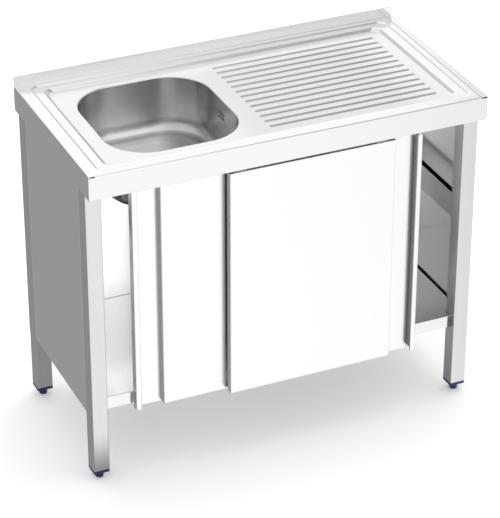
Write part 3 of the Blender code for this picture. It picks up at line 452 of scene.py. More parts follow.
def paintShadeByHeight(finish, stops, plan=None):
    # painted shade and painted reflection bands by height, multiplied into the base colour, in one part of
    # the plan only where that is given
    tree = finish.node_tree
    colourInput = tree.nodes["Principled BSDF"].inputs["Base Color"]
    axes = splitPlace(tree, "Object")
    low, high = stops[0][0], stops[-1][0]
    height = mapRange(tree, axes["Z"], (low, high))
    bands = levelRamp(tree, height, [((z - low) / (high - low), level) for z, level in stops])
    share = withinPlan(tree, axes, *plan) if plan else 1.0
    shaded = mixColour(tree, share, colourInput.links[0].from_socket, bands, "MULTIPLY")
    tree.links.new(shaded, colourInput)


topSteel = makeSteel("topSteel", lines=(5, 600, 600), tones=steel["sheetTones"])
doorSteel = makeSteel("doorSteel", lines=(500, 500, 4), tones=steel["doorTones"], rough=steel["doorRough"])
sideSteel = makeSteel("sideSteel", lines=(500, 5, 500), tones=steel["sheetTones"])
legSteel = makeSteel("legSteel", lines=(600, 600, 5), tones=steel["legTones"], cool=steel["legCool"])
railSteel = makeSteel("railSteel", lines=(600, 5, 600), tones=steel["legTones"], cool=steel["legCool"])
bowlSteel = makeSteel("bowlSteel", lines=(90, 90, 400), tones=steel["bowlTones"], rough=steel["bowlRough"])
# painted shade on the recess and on all top steel lower down
paintShadeByHeight(topSteel, steel["recessPaintedShade"])
# painted shade between the drainer grooves
paintShadeByHeight(topSteel, steel["drainerPaintedShade"], steel["drainerShadePlan"])
# painted shade and painted reflection streaks on the bowl walls
paintShadeByHeight(bowlSteel, steel["wallPaintedShadeAndStreaks"])
# painted shade at the bowl's ends
paintShadeByHeight(bowlSteel, steel["endPaintedShade"], steel["endShadeBand"])
# painted shade in the right door's finger channel
paintShadeByHeight(doorSteel, steel["channelPaintedShade"], steel["channelShadePlan"])
wasteSteel = makeSteel("wasteSteel", lines=(300, 300, 300), tones=steel["wasteTones"],
                       rough=steel["wasteRough"])
zincSteel = makeSteel("zincSteel", lines=(120, 120, 120), tones=steel["zincTones"], cool=steel["zincCool"],
                      rough=steel["zincRough"], patches=steel["zincPatches"])

plastic = {"scale": 900.0, "bump": 0.10, "bumpHeight": 0.0002}


def makePlastic(name, light, dark, rough):
    low, high = rough
    values = {
        "Scale": plastic["scale"], "Light Tone": (*light, 1), "Dark Tone": (*dark, 1),
        "Rough Low": low, "Rough High": high,
    }
    return makeFinish(name, speckGroup, values, 0.0, plastic["bump"], plastic["bumpHeight"])


navyPlastic = makePlastic("navyPlastic", (0.020, 0.030, 0.130), (0.010, 0.014, 0.070), rough=(0.35, 0.50))
whiteNylon = makePlastic("whiteNylon", (0.82, 0.82, 0.79), (0.74, 0.74, 0.71), rough=(0.35, 0.50))
blackRubber = makePlastic("blackRubber", (0.030, 0.030, 0.031), (0.016, 0.016, 0.017), rough=(0.60, 0.80))
greyPlastic = makePlastic("greyPlastic", (0.38, 0.39, 0.40), (0.31, 0.32, 0.33), rough=(0.40, 0.55))
print("finishes made")


# sink top: border, two steps, grooves, bowl lip, front apron and upstand in one sheet

cabinet = {"halfWidth": 0.5, "halfDepth": 0.25, "workHeight": 0.84, "sheet": 0.001, "gap": 0.0003}

sinkTop = {
    "outerInset": (0.0303, 0.018), "outerRun": 0.006, "outerDrop": 0.0025,
    "ledge": (0.019, 0.0155), "innerRun": 0.010, "innerDrop": 0.006, "corner": 0.020,
    "stepLoops": 6,
    "frontBend": 0.0035, "bendLoops": 6, "apron": 0.0605, "apronReturn": 0.005, "upstand": 0.0255,
    "foldRadius": 0.0018, "hemRadius": 0.0010, "backStrip": 0.004,
    "relief": (0.0155, 0.0045, 0.0036),
}

bowl = {
    "centre": (-0.235, -0.0027), "halfX": 0.163, "halfY": 0.177, "corner": 0.104,
    "cornerSegments": 15, "sideCuts": 11,
    "lip": 0.003, "lipLoops": 8, "depth": 0.1495, "draft": 0.003, "wallLoops": 8,
    "footRadius": 0.042, "footNear": 0.024, "footLoops": 16, "fall": 0.006, "floorLoops": 5,
    "slotRows": 2, "slotColumns": 3, "slotPitch": 0.010, "slotLength": 0.0085, "slotHeight": 0.0055,
    "slotDepth": 0.040, "slotReach": 0.008, "slotSegments": 18,
}

grooves = {
    "count": 13, "pitch": 0.0279, "halfWidth": 0.007, "depth": 0.0028, "slope": 0.88,
    "bowlGap": 0.046, "endMargin": 0.0225, "loops": 6,
}

plateHalfX = cabinet["halfWidth"] - cabinet["sheet"] - cabinet["gap"]
upstandFace = cabinet["halfDepth"] - 2 * cabinet["sheet"] - cabinet["gap"]
recessFloor = cabinet["workHeight"] - sinkTop["outerDrop"] - sinkTop["innerDrop"]
recessHalfX = (cabinet["halfWidth"] - sinkTop["outerInset"][0] - sinkTop["outerRun"]
               - sinkTop["ledge"][0] - sinkTop["innerRun"])
apronBottom = cabinet["workHeight"] - sinkTop["apron"]


def bowlLoop(bm, growth, z, shift=0.0):
    centre = (bowl["centre"][0] - shift, bowl["centre"][1] - shift)
    return ringLoop(bm, bowl["halfX"] + growth, bowl["halfY"] + growth, bowl["corner"] + growth,
                    centre, z, bowl["cornerSegments"], bowl["sideCuts"])


def recessLoops(bm):
    halfX = cabinet["halfWidth"] - sinkTop["outerInset"][0]
    halfY = cabinet["halfDepth"] - sinkTop["outerInset"][1]
    z = cabinet["workHeight"]
    flights = []
    stages = (("outerRun", "outerDrop", sinkTop["ledge"]), ("innerRun", "innerDrop", (0, 0)))
    for runName, dropName, ledge in stages:
        run = sinkTop[runName]
        drop = sinkTop[dropName]
        loops = []
        for step in range(sinkTop["stepLoops"] + 1):
            share = step / sinkTop["stepLoops"]
            loops.append(ringLoop(bm, halfX - run * share, halfY - run * share, sinkTop["corner"],
                                  (0, 0), z - drop * smoothStep(share)))
        flights.append(loops)
        halfX -= run + ledge[0]
        halfY -= run + ledge[1]
        z -= drop
    return flights


def addGroove(bm, y):
    left = bowl["centre"][0] + bowl["halfX"] + grooves["bowlGap"]
    right = recessHalfX - grooves["endMargin"]
    loops = []
    for step in range(grooves["loops"]):
        share = grooves["slope"] * step / (grooves["loops"] - 1)
        inset = grooves["halfWidth"] * share
        drop = grooves["depth"] * (1 - math.cos(math.pi * share)) / 2
        loops.append(slotLoop(bm, left + inset, right - inset, grooves["halfWidth"] - inset,
                              y, recessFloor - drop))
    bridge(bm, loops)
    bmesh.ops.contextual_create(bm, geom=loops[-1])
    return loops[0]


def bowlLip(bm):
    loops = []
    for step in range(bowl["lipLoops"] + 1):
        angle = math.pi / 2 * step / bowl["lipLoops"]
        loops.append(bowlLoop(bm, bowl["lip"] * (1 - math.sin(angle)),
                              recessFloor - bowl["lip"] * (1 - math.cos(angle))))
    return loops


def foldSinkTop(bm, frontEdge, backEdge):
    work = cabinet["workHeight"]
    face = -cabinet["halfDepth"]
    bend = sinkTop["frontBend"]
    apron = []
    for step in range(1, sinkTop["bendLoops"] + 1):
        angle = math.pi / 2 * step / sinkTop["bendLoops"]
        apron.append((face + bend - bend * math.sin(angle), work + bend * (math.cos(angle) - 1)))
    apron += [(face, apronBottom), (face + sinkTop["apronReturn"], apronBottom)]
    sweepEdge(bm, frontEdge, apron)
    back = cabinet["halfDepth"]
    top = work + sinkTop["upstand"]
    sweepEdge(bm, backEdge, [(upstandFace, work), (upstandFace, top), (back, top), (back, apronBottom)])


def roundSinkTop(bm):
    def isHem(edge):
        return all(vert.co.z > cabinet["workHeight"] + sinkTop["upstand"] / 2 for vert in edge.verts)

    def isFold(edge):
        low = all(near(vert.co.z, apronBottom) for vert in edge.verts)
        foot = all(near(vert.co.y, upstandFace) for vert in edge.verts)
        return (low or foot) and not isHem(edge)

    roundFolds(bm, sinkTop["hemRadius"], isHem)
    roundFolds(bm, sinkTop["foldRadius"], isFold)


def buildSinkTop():
    bm = bmesh.new()
    face = -cabinet["halfDepth"]
    front = face + sinkTop["frontBend"]
    back = upstandFace - sinkTop["backStrip"]
    addSheet(bm, placed((0, (front + back) / 2, cabinet["workHeight"]), (2 * plateHalfX, back - front, 1)))
    border = bm.edges[:]
    bmesh.ops.delete(bm, geom=bm.faces[:], context="FACES_ONLY")
    frontEdge = min(border, key=lambda edge: edge.verts[0].co.y + edge.verts[1].co.y)
    backEdge = max(border, key=lambda edge: edge.verts[0].co.y + edge.verts[1].co.y)
    outer, inner = recessLoops(bm)
    for rings in (border + outer[0], outer[-1] + inner[0]):
        bmesh.ops.triangle_fill(bm, use_beauty=True, edges=rings, normal=(0, 0, 1))
    bridge(bm, outer)
    bridge(bm, inner)

    lip = bowlLip(bm)
    holes = list(lip[0])
    for index in range(grooves["count"]):
        y = bowl["centre"][1] + grooves["pitch"] * (index - (grooves["count"] - 1) / 2)
        holes += addGroove(bm, y)
    bmesh.ops.triangle_fill(bm, use_beauty=True, edges=inner[-1] + holes, normal=(0, 0, 1))
    bridge(bm, lip)

    foldSinkTop(bm, frontEdge, backEdge)
    bmesh.ops.remove_doubles(bm, verts=bm.verts, dist=meshing["join"])
    faceTowards(bm, (0, 0, 1))
    roundSinkTop(bm)
    # small corner reliefs under the front ends of the side strips
    relief = bmesh.new()
    width, reach, drop = sinkTop["relief"]
    for side in (-1, 1):
        middle = (side * (cabinet["halfWidth"] - width / 2), face, cabinet["workHeight"] - drop / 2)
        addBox(relief, middle, (width, 2 * reach, drop))
    makePiece("sinkTop", bm, topSteel, nodes=("sink_top",), sheet=cabinet["sheet"],
              cutters=[meshObject("reliefCutter", relief)])


buildSinkTop()
print("sink top made")

sideApron = {"strip": 0.016, "foldRadius": 0.0013}


def buildSideApron(end, side):
    outer = side * cabinet["halfWidth"]
    top = cabinet["workHeight"] + cabinet["gap"] + cabinet["sheet"]
    profile = [(outer - side * sideApron["strip"], top), (outer, top), (outer, apronBottom)]
    bm = foldedStrip(profile, -cabinet["halfDepth"], upstandFace - cabinet["gap"])
    faceTowards(bm, (side, 0, 0.5))
    roundFolds(bm, sideApron["foldRadius"])
    makePiece("sideApron." + end, bm, sideSteel, nodes=("side_apron_" + end,), sheet=cabinet["sheet"])


ends = (("left", -1), ("right", 1))
for end, side in ends:
    buildSideApron(end, side)
print("side aprons made")


# bowl with its overflow slots and waste

waste = {
    "seat": 0.032, "seatDepth": 0.003, "flange": 0.0025, "tail": 0.023, "wall": 0.003, "length": 0.040,
    "steps": 48,
    "innerRim": [(0.0, 0.0), (0.0004, 0.0012), (0.0014, 0.0023), (0.0026, 0.0025)],
    "outerRim": [(0.0030, 0.0025), (0.0014, 0.0022), (0.0004, 0.0014), (0.0, 0.0006), (0.0, 0.0)],
    "hole": 0.004, "holeRing": 0.0125, "holes": 6, "holeDepth": 0.012, "holeSegments": 20,
    "screw": 0.0035, "screwSteps": 24, "screwRise": 0.0018, "slit": (0.010, 0.0009, 0.0014),
    "screwDome": [(0.0, 0.0018), (0.6, 0.0016), (0.9, 0.0009), (1.0, 0.0001), (0.0, 0.0001)],
}
bowlFloor = recessFloor - bowl["depth"]
wasteSeat = bowlFloor - bowl["fall"] - waste["seatDepth"]


def overflowCutter():
    wallHeight = bowl["depth"] - bowl["lip"] - bowl["footRadius"]
    lean = bowl["draft"] * (bowl["slotDepth"] - bowl["lip"]) / wallHeight
    wallX = bowl["centre"][0] + bowl["halfX"] - lean
    half = bowl["slotHeight"] / 2
    stretch = bowl["slotLength"] / 2 - half
    segments = bowl["slotSegments"]
    bm = bmesh.new()
    for row in range(bowl["slotRows"]):
        for column in range(bowl["slotColumns"]):
            y = bowl["centre"][1] + bowl["slotPitch"] * (column - (bowl["slotColumns"] - 1) / 2)
            z = recessFloor - bowl["slotDepth"] + bowl["slotPitch"] * (row - (bowl["slotRows"] - 1) / 2)
            place = (Matrix.Translation((wallX - bowl["slotReach"], y, z))
                     @ Matrix.Rotation(math.pi / 2, 4, "Y") @ Matrix.Rotation(math.pi / 2, 4, "Z"))
            verts = addCircle(bm, half, segments, place @ Matrix.Rotation(math.pi / segments, 4, "Z"), True)
            for way in (1, -1):
                end = [vert for vert in verts if way * (vert.co.y - y) > 0]
                bmesh.ops.translate(bm, verts=end, vec=(0, way * stretch, 0))
            pushFaces(bm, [verts[0].link_faces[0]], (2 * bowl["slotReach"], 0, 0))
    bmesh.ops.recalc_face_normals(bm, faces=bm.faces)
    return meshObject("overflowCutter", bm)


def footInset(radius, height):
    # how far a rounded foot stands in from its wall at a height above the floor
    rest = max(radius - height, 0.0)
    return radius - math.sqrt(radius ** 2 - rest ** 2)


def buildBowl():
    bm = bmesh.new()
    rim = recessFloor - bowl["lip"]
    foot = bowlFloor + bowl["footRadius"]
    loops = []
    for step in range(bowl["wallLoops"]):
        share = step / bowl["wallLoops"]
        loops.append(bowlLoop(bm, -bowl["draft"] * share, rim + (foot - rim) * share))
    for step in range(bowl["footLoops"] + 1):
        height = bowl["footRadius"] * (1 - math.sin(math.pi / 2 * step / bowl["footLoops"]))
        tight, wide = footInset(bowl["footNear"], height), footInset(bowl["footRadius"], height)
        loops.append(bowlLoop(bm, -bowl["draft"] - (tight + wide) / 2, bowlFloor + height,
                              (wide - tight) / 2))
    count = len(loops[0])
    seat = waste["seat"] + cabinet["gap"]
    floorEnd = bowlFloor - bowl["fall"]
    rings = ((seat + waste["seatDepth"], floorEnd), (seat, wasteSeat),
             (waste["tail"] + cabinet["gap"], wasteSeat))
    for radius, z in rings:
        loops.append(circleLoop(bm, radius, bowl["centre"], z, count, math.pi / count))
    bridge(bm, loops)
    # more rings across the sloping floor
    span = [edge for edge in bm.edges
            if near(max(vert.co.z for vert in edge.verts), bowlFloor)
            and near(min(vert.co.z for vert in edge.verts), floorEnd)]
    bmesh.ops.subdivide_edges(bm, edges=span, cuts=bowl["floorLoops"])
    faceTowards(bm, (0, 0, 1))
    makePiece("sinkBowl", bm, bowlSteel, nodes=("sink_bowl",), sheet=cabinet["sheet"],
              cutters=[overflowCutter()], sharp=50)


def buildWaste():
    seat = wasteSeat + cabinet["gap"]
    bore = waste["tail"] - waste["wall"]
    profile = [(0, seat)]
    profile += [(bore + run, seat + rise) for run, rise in waste["innerRim"]]
    profile += [(waste["seat"] - run, seat + rise) for run, rise in waste["outerRim"]]
    profile += [
        (waste["tail"], seat), (waste["tail"], seat - waste["length"]), (bore, seat - waste["length"]),
        (bore, seat - waste["flange"]), (0, seat - waste["flange"]),
    ]
    bm = bmesh.new()
    turned(bm, profile, bowl["centre"], waste["steps"])
    middle = Vector((*bowl["centre"], seat))
    holes = bmesh.new()
    for index in range(waste["holes"]):
        angle = 2 * math.pi * (index + 0.5) / waste["holes"]
        spot = middle + Vector((math.cos(angle), math.sin(angle), 0)) * waste["holeRing"]
        bmesh.ops.create_cone(holes, cap_ends=True, segments=waste["holeSegments"], radius1=waste["hole"],
                              radius2=waste["hole"], depth=waste["holeDepth"],
                              matrix=Matrix.Translation(spot))
    makePiece("wasteFitting", bm, wasteSteel, nodes=("waste_fitting",),
              cutters=[meshObject("wasteHoles", holes)], sharp=30)
    screw = bmesh.new()
    dome = [(waste["screw"] * share, seat + rise) for share, rise in waste["screwDome"]]
    turned(screw, dome, bowl["centre"], waste["screwSteps"])
    slit = bmesh.new()
    addBox(slit, (*bowl["centre"], seat + waste["screwRise"]), waste["slit"])
    makePiece("wasteScrew", screw, wasteSteel, cutters=[meshObject("screwSlit", slit)], sharp=35)


buildBowl()
buildWaste()
print("bowl and waste made")


# legs and feet

leg = {
    "size": 0.040, "wall": 0.0015, "corner": 0.0022, "cornerSegments": 5,
    "centreX": 0.4787, "frontY": -0.1938, "rearY": 0.2027, "bottom": 0.0275, "top": 0.8362,
}
foot = {
    "height": 0.0195, "radius": 0.010, "edge": 0.0016, "steps": 32,
    "topRim": [(1.0, 0.0), (0.3, 0.3), (0.0, 1.0)],
    "lowRim": [(0.0, 2.0), (0.1, 1.0), (0.4, 0.4), (1.0, 0.0)],
    "stem": 0.005, "core": 0.0046, "chamfer": (0.0008, 0.0010), "stemLength": 0.045,
    "pitch": 0.0015, "threadStart": 0.0016, "threadShort": 0.004, "threadSteps": 16,
    "thread": [(0.0006, -0.0006), (0.0, -0.0001), (0.0, 0.0001), (0.0006, 0.0006)],
}


def buildLeg(position, x, y):
    bm = bmesh.new()
    addSheet(bm, placed((0, 0, 0), (leg["size"], leg["size"], 1)))
    roundCorners(bm, bm.verts[:], leg["corner"], leg["cornerSegments"])
    bmesh.ops.inset_region(bm, faces=bm.faces[:], thickness=leg["wall"], use_boundary=True,
                           use_even_offset=True)
    middle = min(bm.faces, key=lambda face: face.calc_center_median().length)
    bmesh.ops.delete(bm, geom=[middle], context="FACES_KEEP_BOUNDARY")
    pushFaces(bm, bm.faces[:], (0, 0, leg["top"] - leg["bottom"]))
    bmesh.ops.translate(bm, verts=bm.verts, vec=(x, y, leg["bottom"]))
    bmesh.ops.recalc_face_normals(bm, faces=bm.faces)
    makePiece("leg." + position, bm, legSteel, nodes=("leg_" + position,))


def buildFoot(position, body, x, y):
    head = foot["height"] - cabinet["gap"]
    tip = head + foot["stemLength"]
    core = foot["core"]
    radius = foot["radius"]
    edge = foot["edge"]
    profile = [(0, tip), (core - foot["chamfer"][0], tip), (core, tip - foot["chamfer"][1]), (core, head)]
    profile += [(radius - run * edge, head - drop * edge) for run, drop in foot["topRim"]]
    profile += [(radius - run * edge, rise * edge) for run, rise in foot["lowRim"]]
    profile.append((0, 0))
    bm = bmesh.new()
    turned(bm, profile, (x, y), foot["steps"])
    # thread: a small ridge wound up the stem
    low = head + foot["threadStart"]
    verts = [bm.verts.new((x + foot["stem"] - depth, y, low + up)) for depth, up in foot["thread"]]
    face = bm.faces.new(verts)
    turns = int((foot["stemLength"] - foot["threadShort"]) / foot["pitch"])
    bmesh.ops.spin(bm, geom=[face] + face.edges[:] + verts, cent=(x, y, 0), axis=(0, 0, 1),
                   dvec=(0, 0, foot["pitch"] / foot["threadSteps"]), angle=2 * math.pi * turns,
                   steps=foot["threadSteps"] * turns, use_merge=False)
    bmesh.ops.recalc_face_normals(bm, faces=bm.faces)
    makePiece("foot." + position, bm, navyPlastic, body=body, nodes=("foot_" + position,),
              sharp=35)


for row, y in (("front", leg["frontY"]), ("rear", leg["rearY"])):
    for end, side in ends:
        position = row + "_" + end
        buildLeg(position, side * leg["centreX"], y)
        buildFoot(position, position + "_foot", side * leg["centreX"], y)
print("legs and feet made")


# sheet panels, shelf and rails of the body

panel = {"bottom": 0.177, "top": 0.8059, "front": -0.1735, "rear": 0.1824, "flange": 0.015, "fold": 0.002}
midRail = {"bottom": 0.488, "height": 0.067, "width": 0.014, "fold": 0.002}
legInner = leg["centreX"] - leg["size"] / 2
legOuter = leg["centreX"] + leg["size"] / 2
panelHeight = panel["top"] - panel["bottom"]
panelMiddle = (panel["top"] + panel["bottom"]) / 2


def buildSidePanel(end, side):
    bm = bmesh.new()
    middleY = (panel["front"] + panel["rear"]) / 2
    addSheet(bm, Matrix.Translation((side * legOuter, middleY, panelMiddle))
             @ Matrix.Rotation(math.pi / 2, 4, "Y")
             @ Matrix.Diagonal((panelHeight, panel["rear"] - panel["front"], 1, 1)))
    folded = [edge for edge in bm.edges
              if min(vert.co.z for vert in edge.verts) < panel["top"] - panel["flange"]]
    pushEdges(bm, folded, (-side * panel["flange"], 0, 0))
    faceTowards(bm, (side, 0, 0))
    roundFolds(bm, panel["fold"])
    makePiece("sidePanel." + end, bm, sideSteel, nodes=("side_panel_" + end,), sheet=cabinet["sheet"])


def buildMidRail(end, side):
    inner = side * legInner
    outer = inner + side * midRail["width"]
    top = midRail["bottom"] + midRail["height"]
    profile = [(inner, top), (inner, midRail["bottom"]), (outer, midRail["bottom"]), (outer, top)]
    bm = foldedStrip(profile, panel["front"], panel["rear"])
    faceTowards(bm, (0, 0, -1))
    roundFolds(bm, midRail["fold"])
    makePiece("midRail." + end, bm, railSteel, nodes=("mid_rail_" + end,), sheet=cabinet["sheet"])


for end, side in ends:
    buildSidePanel(end, side)
    buildMidRail(end, side)

backPanel = {
    "face": 0.2230, "edge": 0.0002, "edgeSegments": 2,
    "rivet": 0.0032, "rivetRise": 0.0011, "rivetRows": 6, "rivetMargin": 0.03, "rivetSteps": 16,
    "rivetDome": [(0.0, 1.0), (0.45, 0.9), (0.8, 0.55), (1.0, 0.0)],
}


def buildBackPanel():
    bm = bmesh.new()
    addBox(bm, (0, backPanel["face"] + cabinet["sheet"] / 2, panelMiddle),
           (2 * legOuter, cabinet["sheet"], panelHeight))
    roundEdges(bm, bm.edges[:], backPanel["edge"], backPanel["edgeSegments"])
    makePiece("backPanel", bm, topSteel, nodes=("back_panel",))
    rivets = bmesh.new()
    outside = backPanel["face"] + cabinet["sheet"]
    pitch = (panelHeight - 2 * backPanel["rivetMargin"]) / (backPanel["rivetRows"] - 1)
    for side in (-1, 1):
        x = side * leg["centreX"]
        for row in range(backPanel["rivetRows"]):
            z = panel["bottom"] + backPanel["rivetMargin"] + pitch * row
            dome = [(x + backPanel["rivet"] * out, outside + backPanel["rivetRise"] * up, z)
                    for out, up in backPanel["rivetDome"]]
            spun(rivets, dome, (x, outside, z), (0, 1, 0), backPanel["rivetSteps"])
    bmesh.ops.remove_doubles(rivets, verts=rivets.verts, dist=meshing["joinTurned"])
    bmesh.ops.holes_fill(rivets, edges=[edge for edge in rivets.edges if edge.is_boundary], sides=0)
    bmesh.ops.recalc_face_normals(rivets, faces=rivets.faces)
    makePiece("backRivets", rivets, wasteSteel, sharp=50)


buildBackPanel()

shelf = {"top": 0.219, "lip": 0.0323, "front": -0.1973, "rear": 0.2227, "sideGap": 0.0045, "fold": 0.002}


def buildShelf():
    waist = legInner - cabinet["gap"]
    wing = legOuter - cabinet["sheet"] - shelf["sideGap"]
    wingFront = panel["front"] + cabinet["gap"] + cabinet["sheet"]
    wingRear = panel["rear"] - cabinet["gap"] - cabinet["sheet"]
    half = [(waist, shelf["front"]), (waist, wingFront), (wing, wingFront),
            (wing, wingRear), (waist, wingRear), (waist, shelf["rear"])]
    outline = half + [(-x, y) for x, y in reversed(half)]
    bm = bmesh.new()
    face = bm.faces.new([bm.verts.new((x, y, shelf["top"])) for x, y in outline])
    pushEdges(bm, face.edges[:], (0, 0, -shelf["lip"]))
    faceTowards(bm, (0, 0, 1))
    rims = [edge for edge in bm.edges if all(near(vert.co.z, shelf["top"]) for vert in edge.verts)]
    roundEdges(bm, rims, shelf["fold"])
    makePiece("bottomShelf", bm, topSteel, nodes=("bottom_shelf",), sheet=cabinet["sheet"])


buildShelf()
print("panels, rails and shelf made")


# sliding doors, folded with a finger channel along the outer edge

door = {
    "bottom": 0.177, "top": 0.7709, "width": 0.493, "thick": 0.0187, "strip": 0.0145, "channel": 0.056,
    "fold": 0.002, "relief": 0.010, "reliefFront": 0.0012, "reliefBack": 0.0009,
    "leftEdge": -0.3885, "rightEdge": 0.3364, "rearFace": -0.2178, "frontFace": -0.2423,
}


def buildDoor(end, side, edgeX, faceY):
    depth = door["thick"] - cabinet["sheet"]
    channelEnd = door["strip"] + door["channel"]
    plan = [(0, depth), (0, 0), (door["strip"], 0), (door["strip"], depth), (channelEnd, depth),
            (channelEnd, 0), (door["width"], 0), (door["width"], depth)]
    bm = bmesh.new()
    edges = wire(bm, [(x, y, door["bottom"]) for x, y in plan])[1]
    pushEdges(bm, edges, (0, 0, door["top"] - door["bottom"]))
    flat = [edge for edge in bm.edges
            if all(vert.co.y == 0 and vert.co.x > door["strip"] for vert in edge.verts)
            and edge.verts[0].co.z == edge.verts[1].co.z]
    pushEdges(bm, flat, (0, depth, 0))
    bmesh.ops.remove_doubles(bm, verts=bm.verts, dist=meshing["join"])
    roundFolds(bm, door["fold"], lambda edge: all(vert.co.y < door["fold"] for vert in edge.verts))
    # the wall behind the strip stops short of both ends
    relief = bmesh.new()
    start, stop = door["reliefFront"], door["thick"] - door["reliefBack"]
    for z in (door["bottom"], door["top"]):
        addBox(relief, (door["strip"] - cabinet["sheet"] / 2, (start + stop) / 2, z),
               (2 * cabinet["sheet"], stop - start, 2 * door["relief"]))
    for part in (bm, relief):
        bmesh.ops.scale(part, vec=(-side, 1, 1), verts=part.verts)
        bmesh.ops.translate(part, verts=part.verts, vec=(edgeX, faceY, 0))
        bmesh.ops.recalc_face_normals(part, faces=part.faces)
    faceTowards(bm, (0, -1, 0))
    makePiece("door." + end, bm, doorSteel, body=end + "_door", nodes=("door_" + end,),
              sheet=cabinet["sheet"], cutters=[meshObject("channelCutter", relief)])


buildDoor("left", -1, door["leftEdge"], door["rearFace"])
buildDoor("right", 1, door["rightEdge"], door["frontFace"])
print("doors made")


# solids that stay as they are get a finish and softened edges

carried = {
    "join": 0.00001, "edge": 0.0004, "edgeSegments": 2, "edgeAngle": 40,
    "finishes": {
        "top_rail": legSteel, "drainer_stiffener": zincSteel, "shelf_stiffener": zincSteel,
        "door_track": zincSteel, "door_hanger": zincSteel, "door_guide": zincSteel,
        "door_roller": whiteNylon, "track_stop": whiteNylon, "waste_gasket": blackRubber,
        "waste_nut": greyPlastic, "overflow_elbow": greyPlastic, "leg_plug": navyPlastic,
    },
}
for name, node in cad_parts.items():
    for prefix, finish in carried["finishes"].items():
        if not name.startswith(prefix):
            continue
        if not node.material_slots:
            node.data.materials.append(finish)
        for holder in node.material_slots:
            holder.link = "OBJECT"
            holder.material = finish
        weld = node.modifiers.new("join", "WELD")
        weld.merge_threshold = carried["join"]
        soften = node.modifiers.new("soften", "BEVEL")
        soften.width = carried["edge"]
        soften.segments = carried["edgeSegments"]
        soften.limit_method = "ANGLE"
        soften.angle_limit = math.radians(carried["edgeAngle"])
        soften.harden_normals = False
print("carried solids finished")


# stage: floor, sky, lamps and camera

stage = {
    "floorSize": 24.0, "floorLow": -0.0003, "floorGlow": 0.22, "floorColour": 0.94,
    "shadeMiddle": (-0.09, -0.03), "shadeHalf": (0.42, 0.22), "shadeSoft": (-0.02, 0.16), "shadeLevel": 0.32,
    "keyPlace": (0.8, 0.6, 4.5), "keyAim": (0.0, 0.0, 0.3), "keySize": (3.0, 3.0), "keyPower": 58.0,
}

# mirrored levels, by how far a direction points to the right
sky = {
    "plain": 0.86, "most": 1.25,
    "depthBlend": (-0.35, 0.35), "aboveBlend": (0.62, 0.88), "belowBlend": (-0.15, 0.10),
    "mirrored": {
        "belowBehind": [
            (-1.0, 0.24), (-0.42, 0.20), (-0.31, 0.33), (-0.12, 0.31), (0.06, 0.90), (0.80, 0.85),
        ],
        "belowFront": [
            (-1.0, 0.60), (-0.62, 0.52), (-0.52, 0.30), (-0.44, 0.12), (-0.38, 0.12), (-0.33, 0.20),
            (-0.26, 0.20), (-0.14, 0.38), (0.06, 1.02), (0.38, 1.10), (0.44, 1.00), (0.50, 0.84),
            (0.65, 0.85),
        ],
        "behind": [
            (-0.70, 0.75), (-0.25, 0.66), (-0.08, 0.72), (0.10, 1.06), (0.43, 1.06), (0.49, 0.45),
            (0.70, 0.70),
        ],
        "above": [(-0.60, 0.85), (0.30, 0.98), (0.38, 0.40), (0.55, 0.42), (0.80, 0.75)],
        "front": [(-0.60, 0.75), (0.26, 0.84), (0.35, 0.90), (0.44, 0.72), (0.80, 0.80)],
    },
}

# dim panels that let the inside of the cupboard read: place, facing, size and power
fills = {
    "cupboardFillLow": ((-0.16, -0.193, 0.325), (0, 1, 0), (0.20, 0.27), 0.217),
    "cupboardFillHigh": ((-0.16, -0.193, 0.635), (0, 1, 0), (0.20, 0.35), 0.200),
    "cupboardFillRight": ((0.17, -0.193, 0.510), (0, 1, 0), (0.26, 0.58), 0.212),
    "shelfFill": ((-0.18, 0.05, 0.615), (0, 1, 0), (0.20, 0.13), 0.056),
    "railFillLeft": ((-0.4735, 0.0, 0.5295), (-1, 0, 0), (0.35, 0.081), 0.0115),
    "railFillRight": ((0.4735, 0.0, 0.5295), (1, 0, 0), (0.35, 0.081), 0.0115),
}


def mixShaders(tree, share, first, second):
    node = tree.nodes.new("ShaderNodeMixShader")
    for socket, given in zip(node.inputs, (share, first, second)):
        tree.links.new(given, socket)
    return node.outputs["Shader"]


def glow(tree, strength):
    node = tree.nodes.new("ShaderNodeEmission")
    node.inputs["Strength"].default_value = strength
    return node.outputs["Emission"]


def floorFinish():
    finish = bpy.data.materials.new("studioFloor")
    finish.use_nodes = True
    tree = finish.node_tree
    tree.nodes.clear()
    paint = tree.nodes.new("ShaderNodeBsdfDiffuse")
    paint.inputs["Color"].default_value = grey(stage["floorColour"])
    seen = tree.nodes.new("ShaderNodeAddShader")
    tree.links.new(paint.outputs["BSDF"], seen.inputs[0])
    tree.links.new(glow(tree, stage["floorGlow"]), seen.inputs[1])
    # mirrored, only the shade under the cabinet covers the sky's pale lower half
    away = awayFrom(tree, splitPlace(tree, "Object"), stage["shadeMiddle"])
    beyond = [mathNode(tree, "SUBTRACT", *pair) for pair in zip(away, stage["shadeHalf"])]
    outside = mapRange(tree, mathNode(tree, "MAXIMUM", *beyond), stage["shadeSoft"], soft=True)
    clear = tree.nodes.new("ShaderNodeBsdfTransparent")
    mirror = mixShaders(tree, outside, glow(tree, stage["shadeLevel"]), clear.outputs["BSDF"])
    path = tree.nodes.new("ShaderNodeLightPath")
    out = tree.nodes.new("ShaderNodeOutputMaterial")
    tree.links.new(mixShaders(tree, path.outputs["Is Glossy Ray"], seen.outputs["Shader"], mirror),
                   out.inputs["Surface"])
    return finish


def buildFloor():
    bm = bmesh.new()
    addSheet(bm, placed((0, 0, stage["floorLow"]), (stage["floorSize"], stage["floorSize"], 1)))
    floor = meshObject("studioFloor", bm)
    floor.data.materials.append(floorFinish())


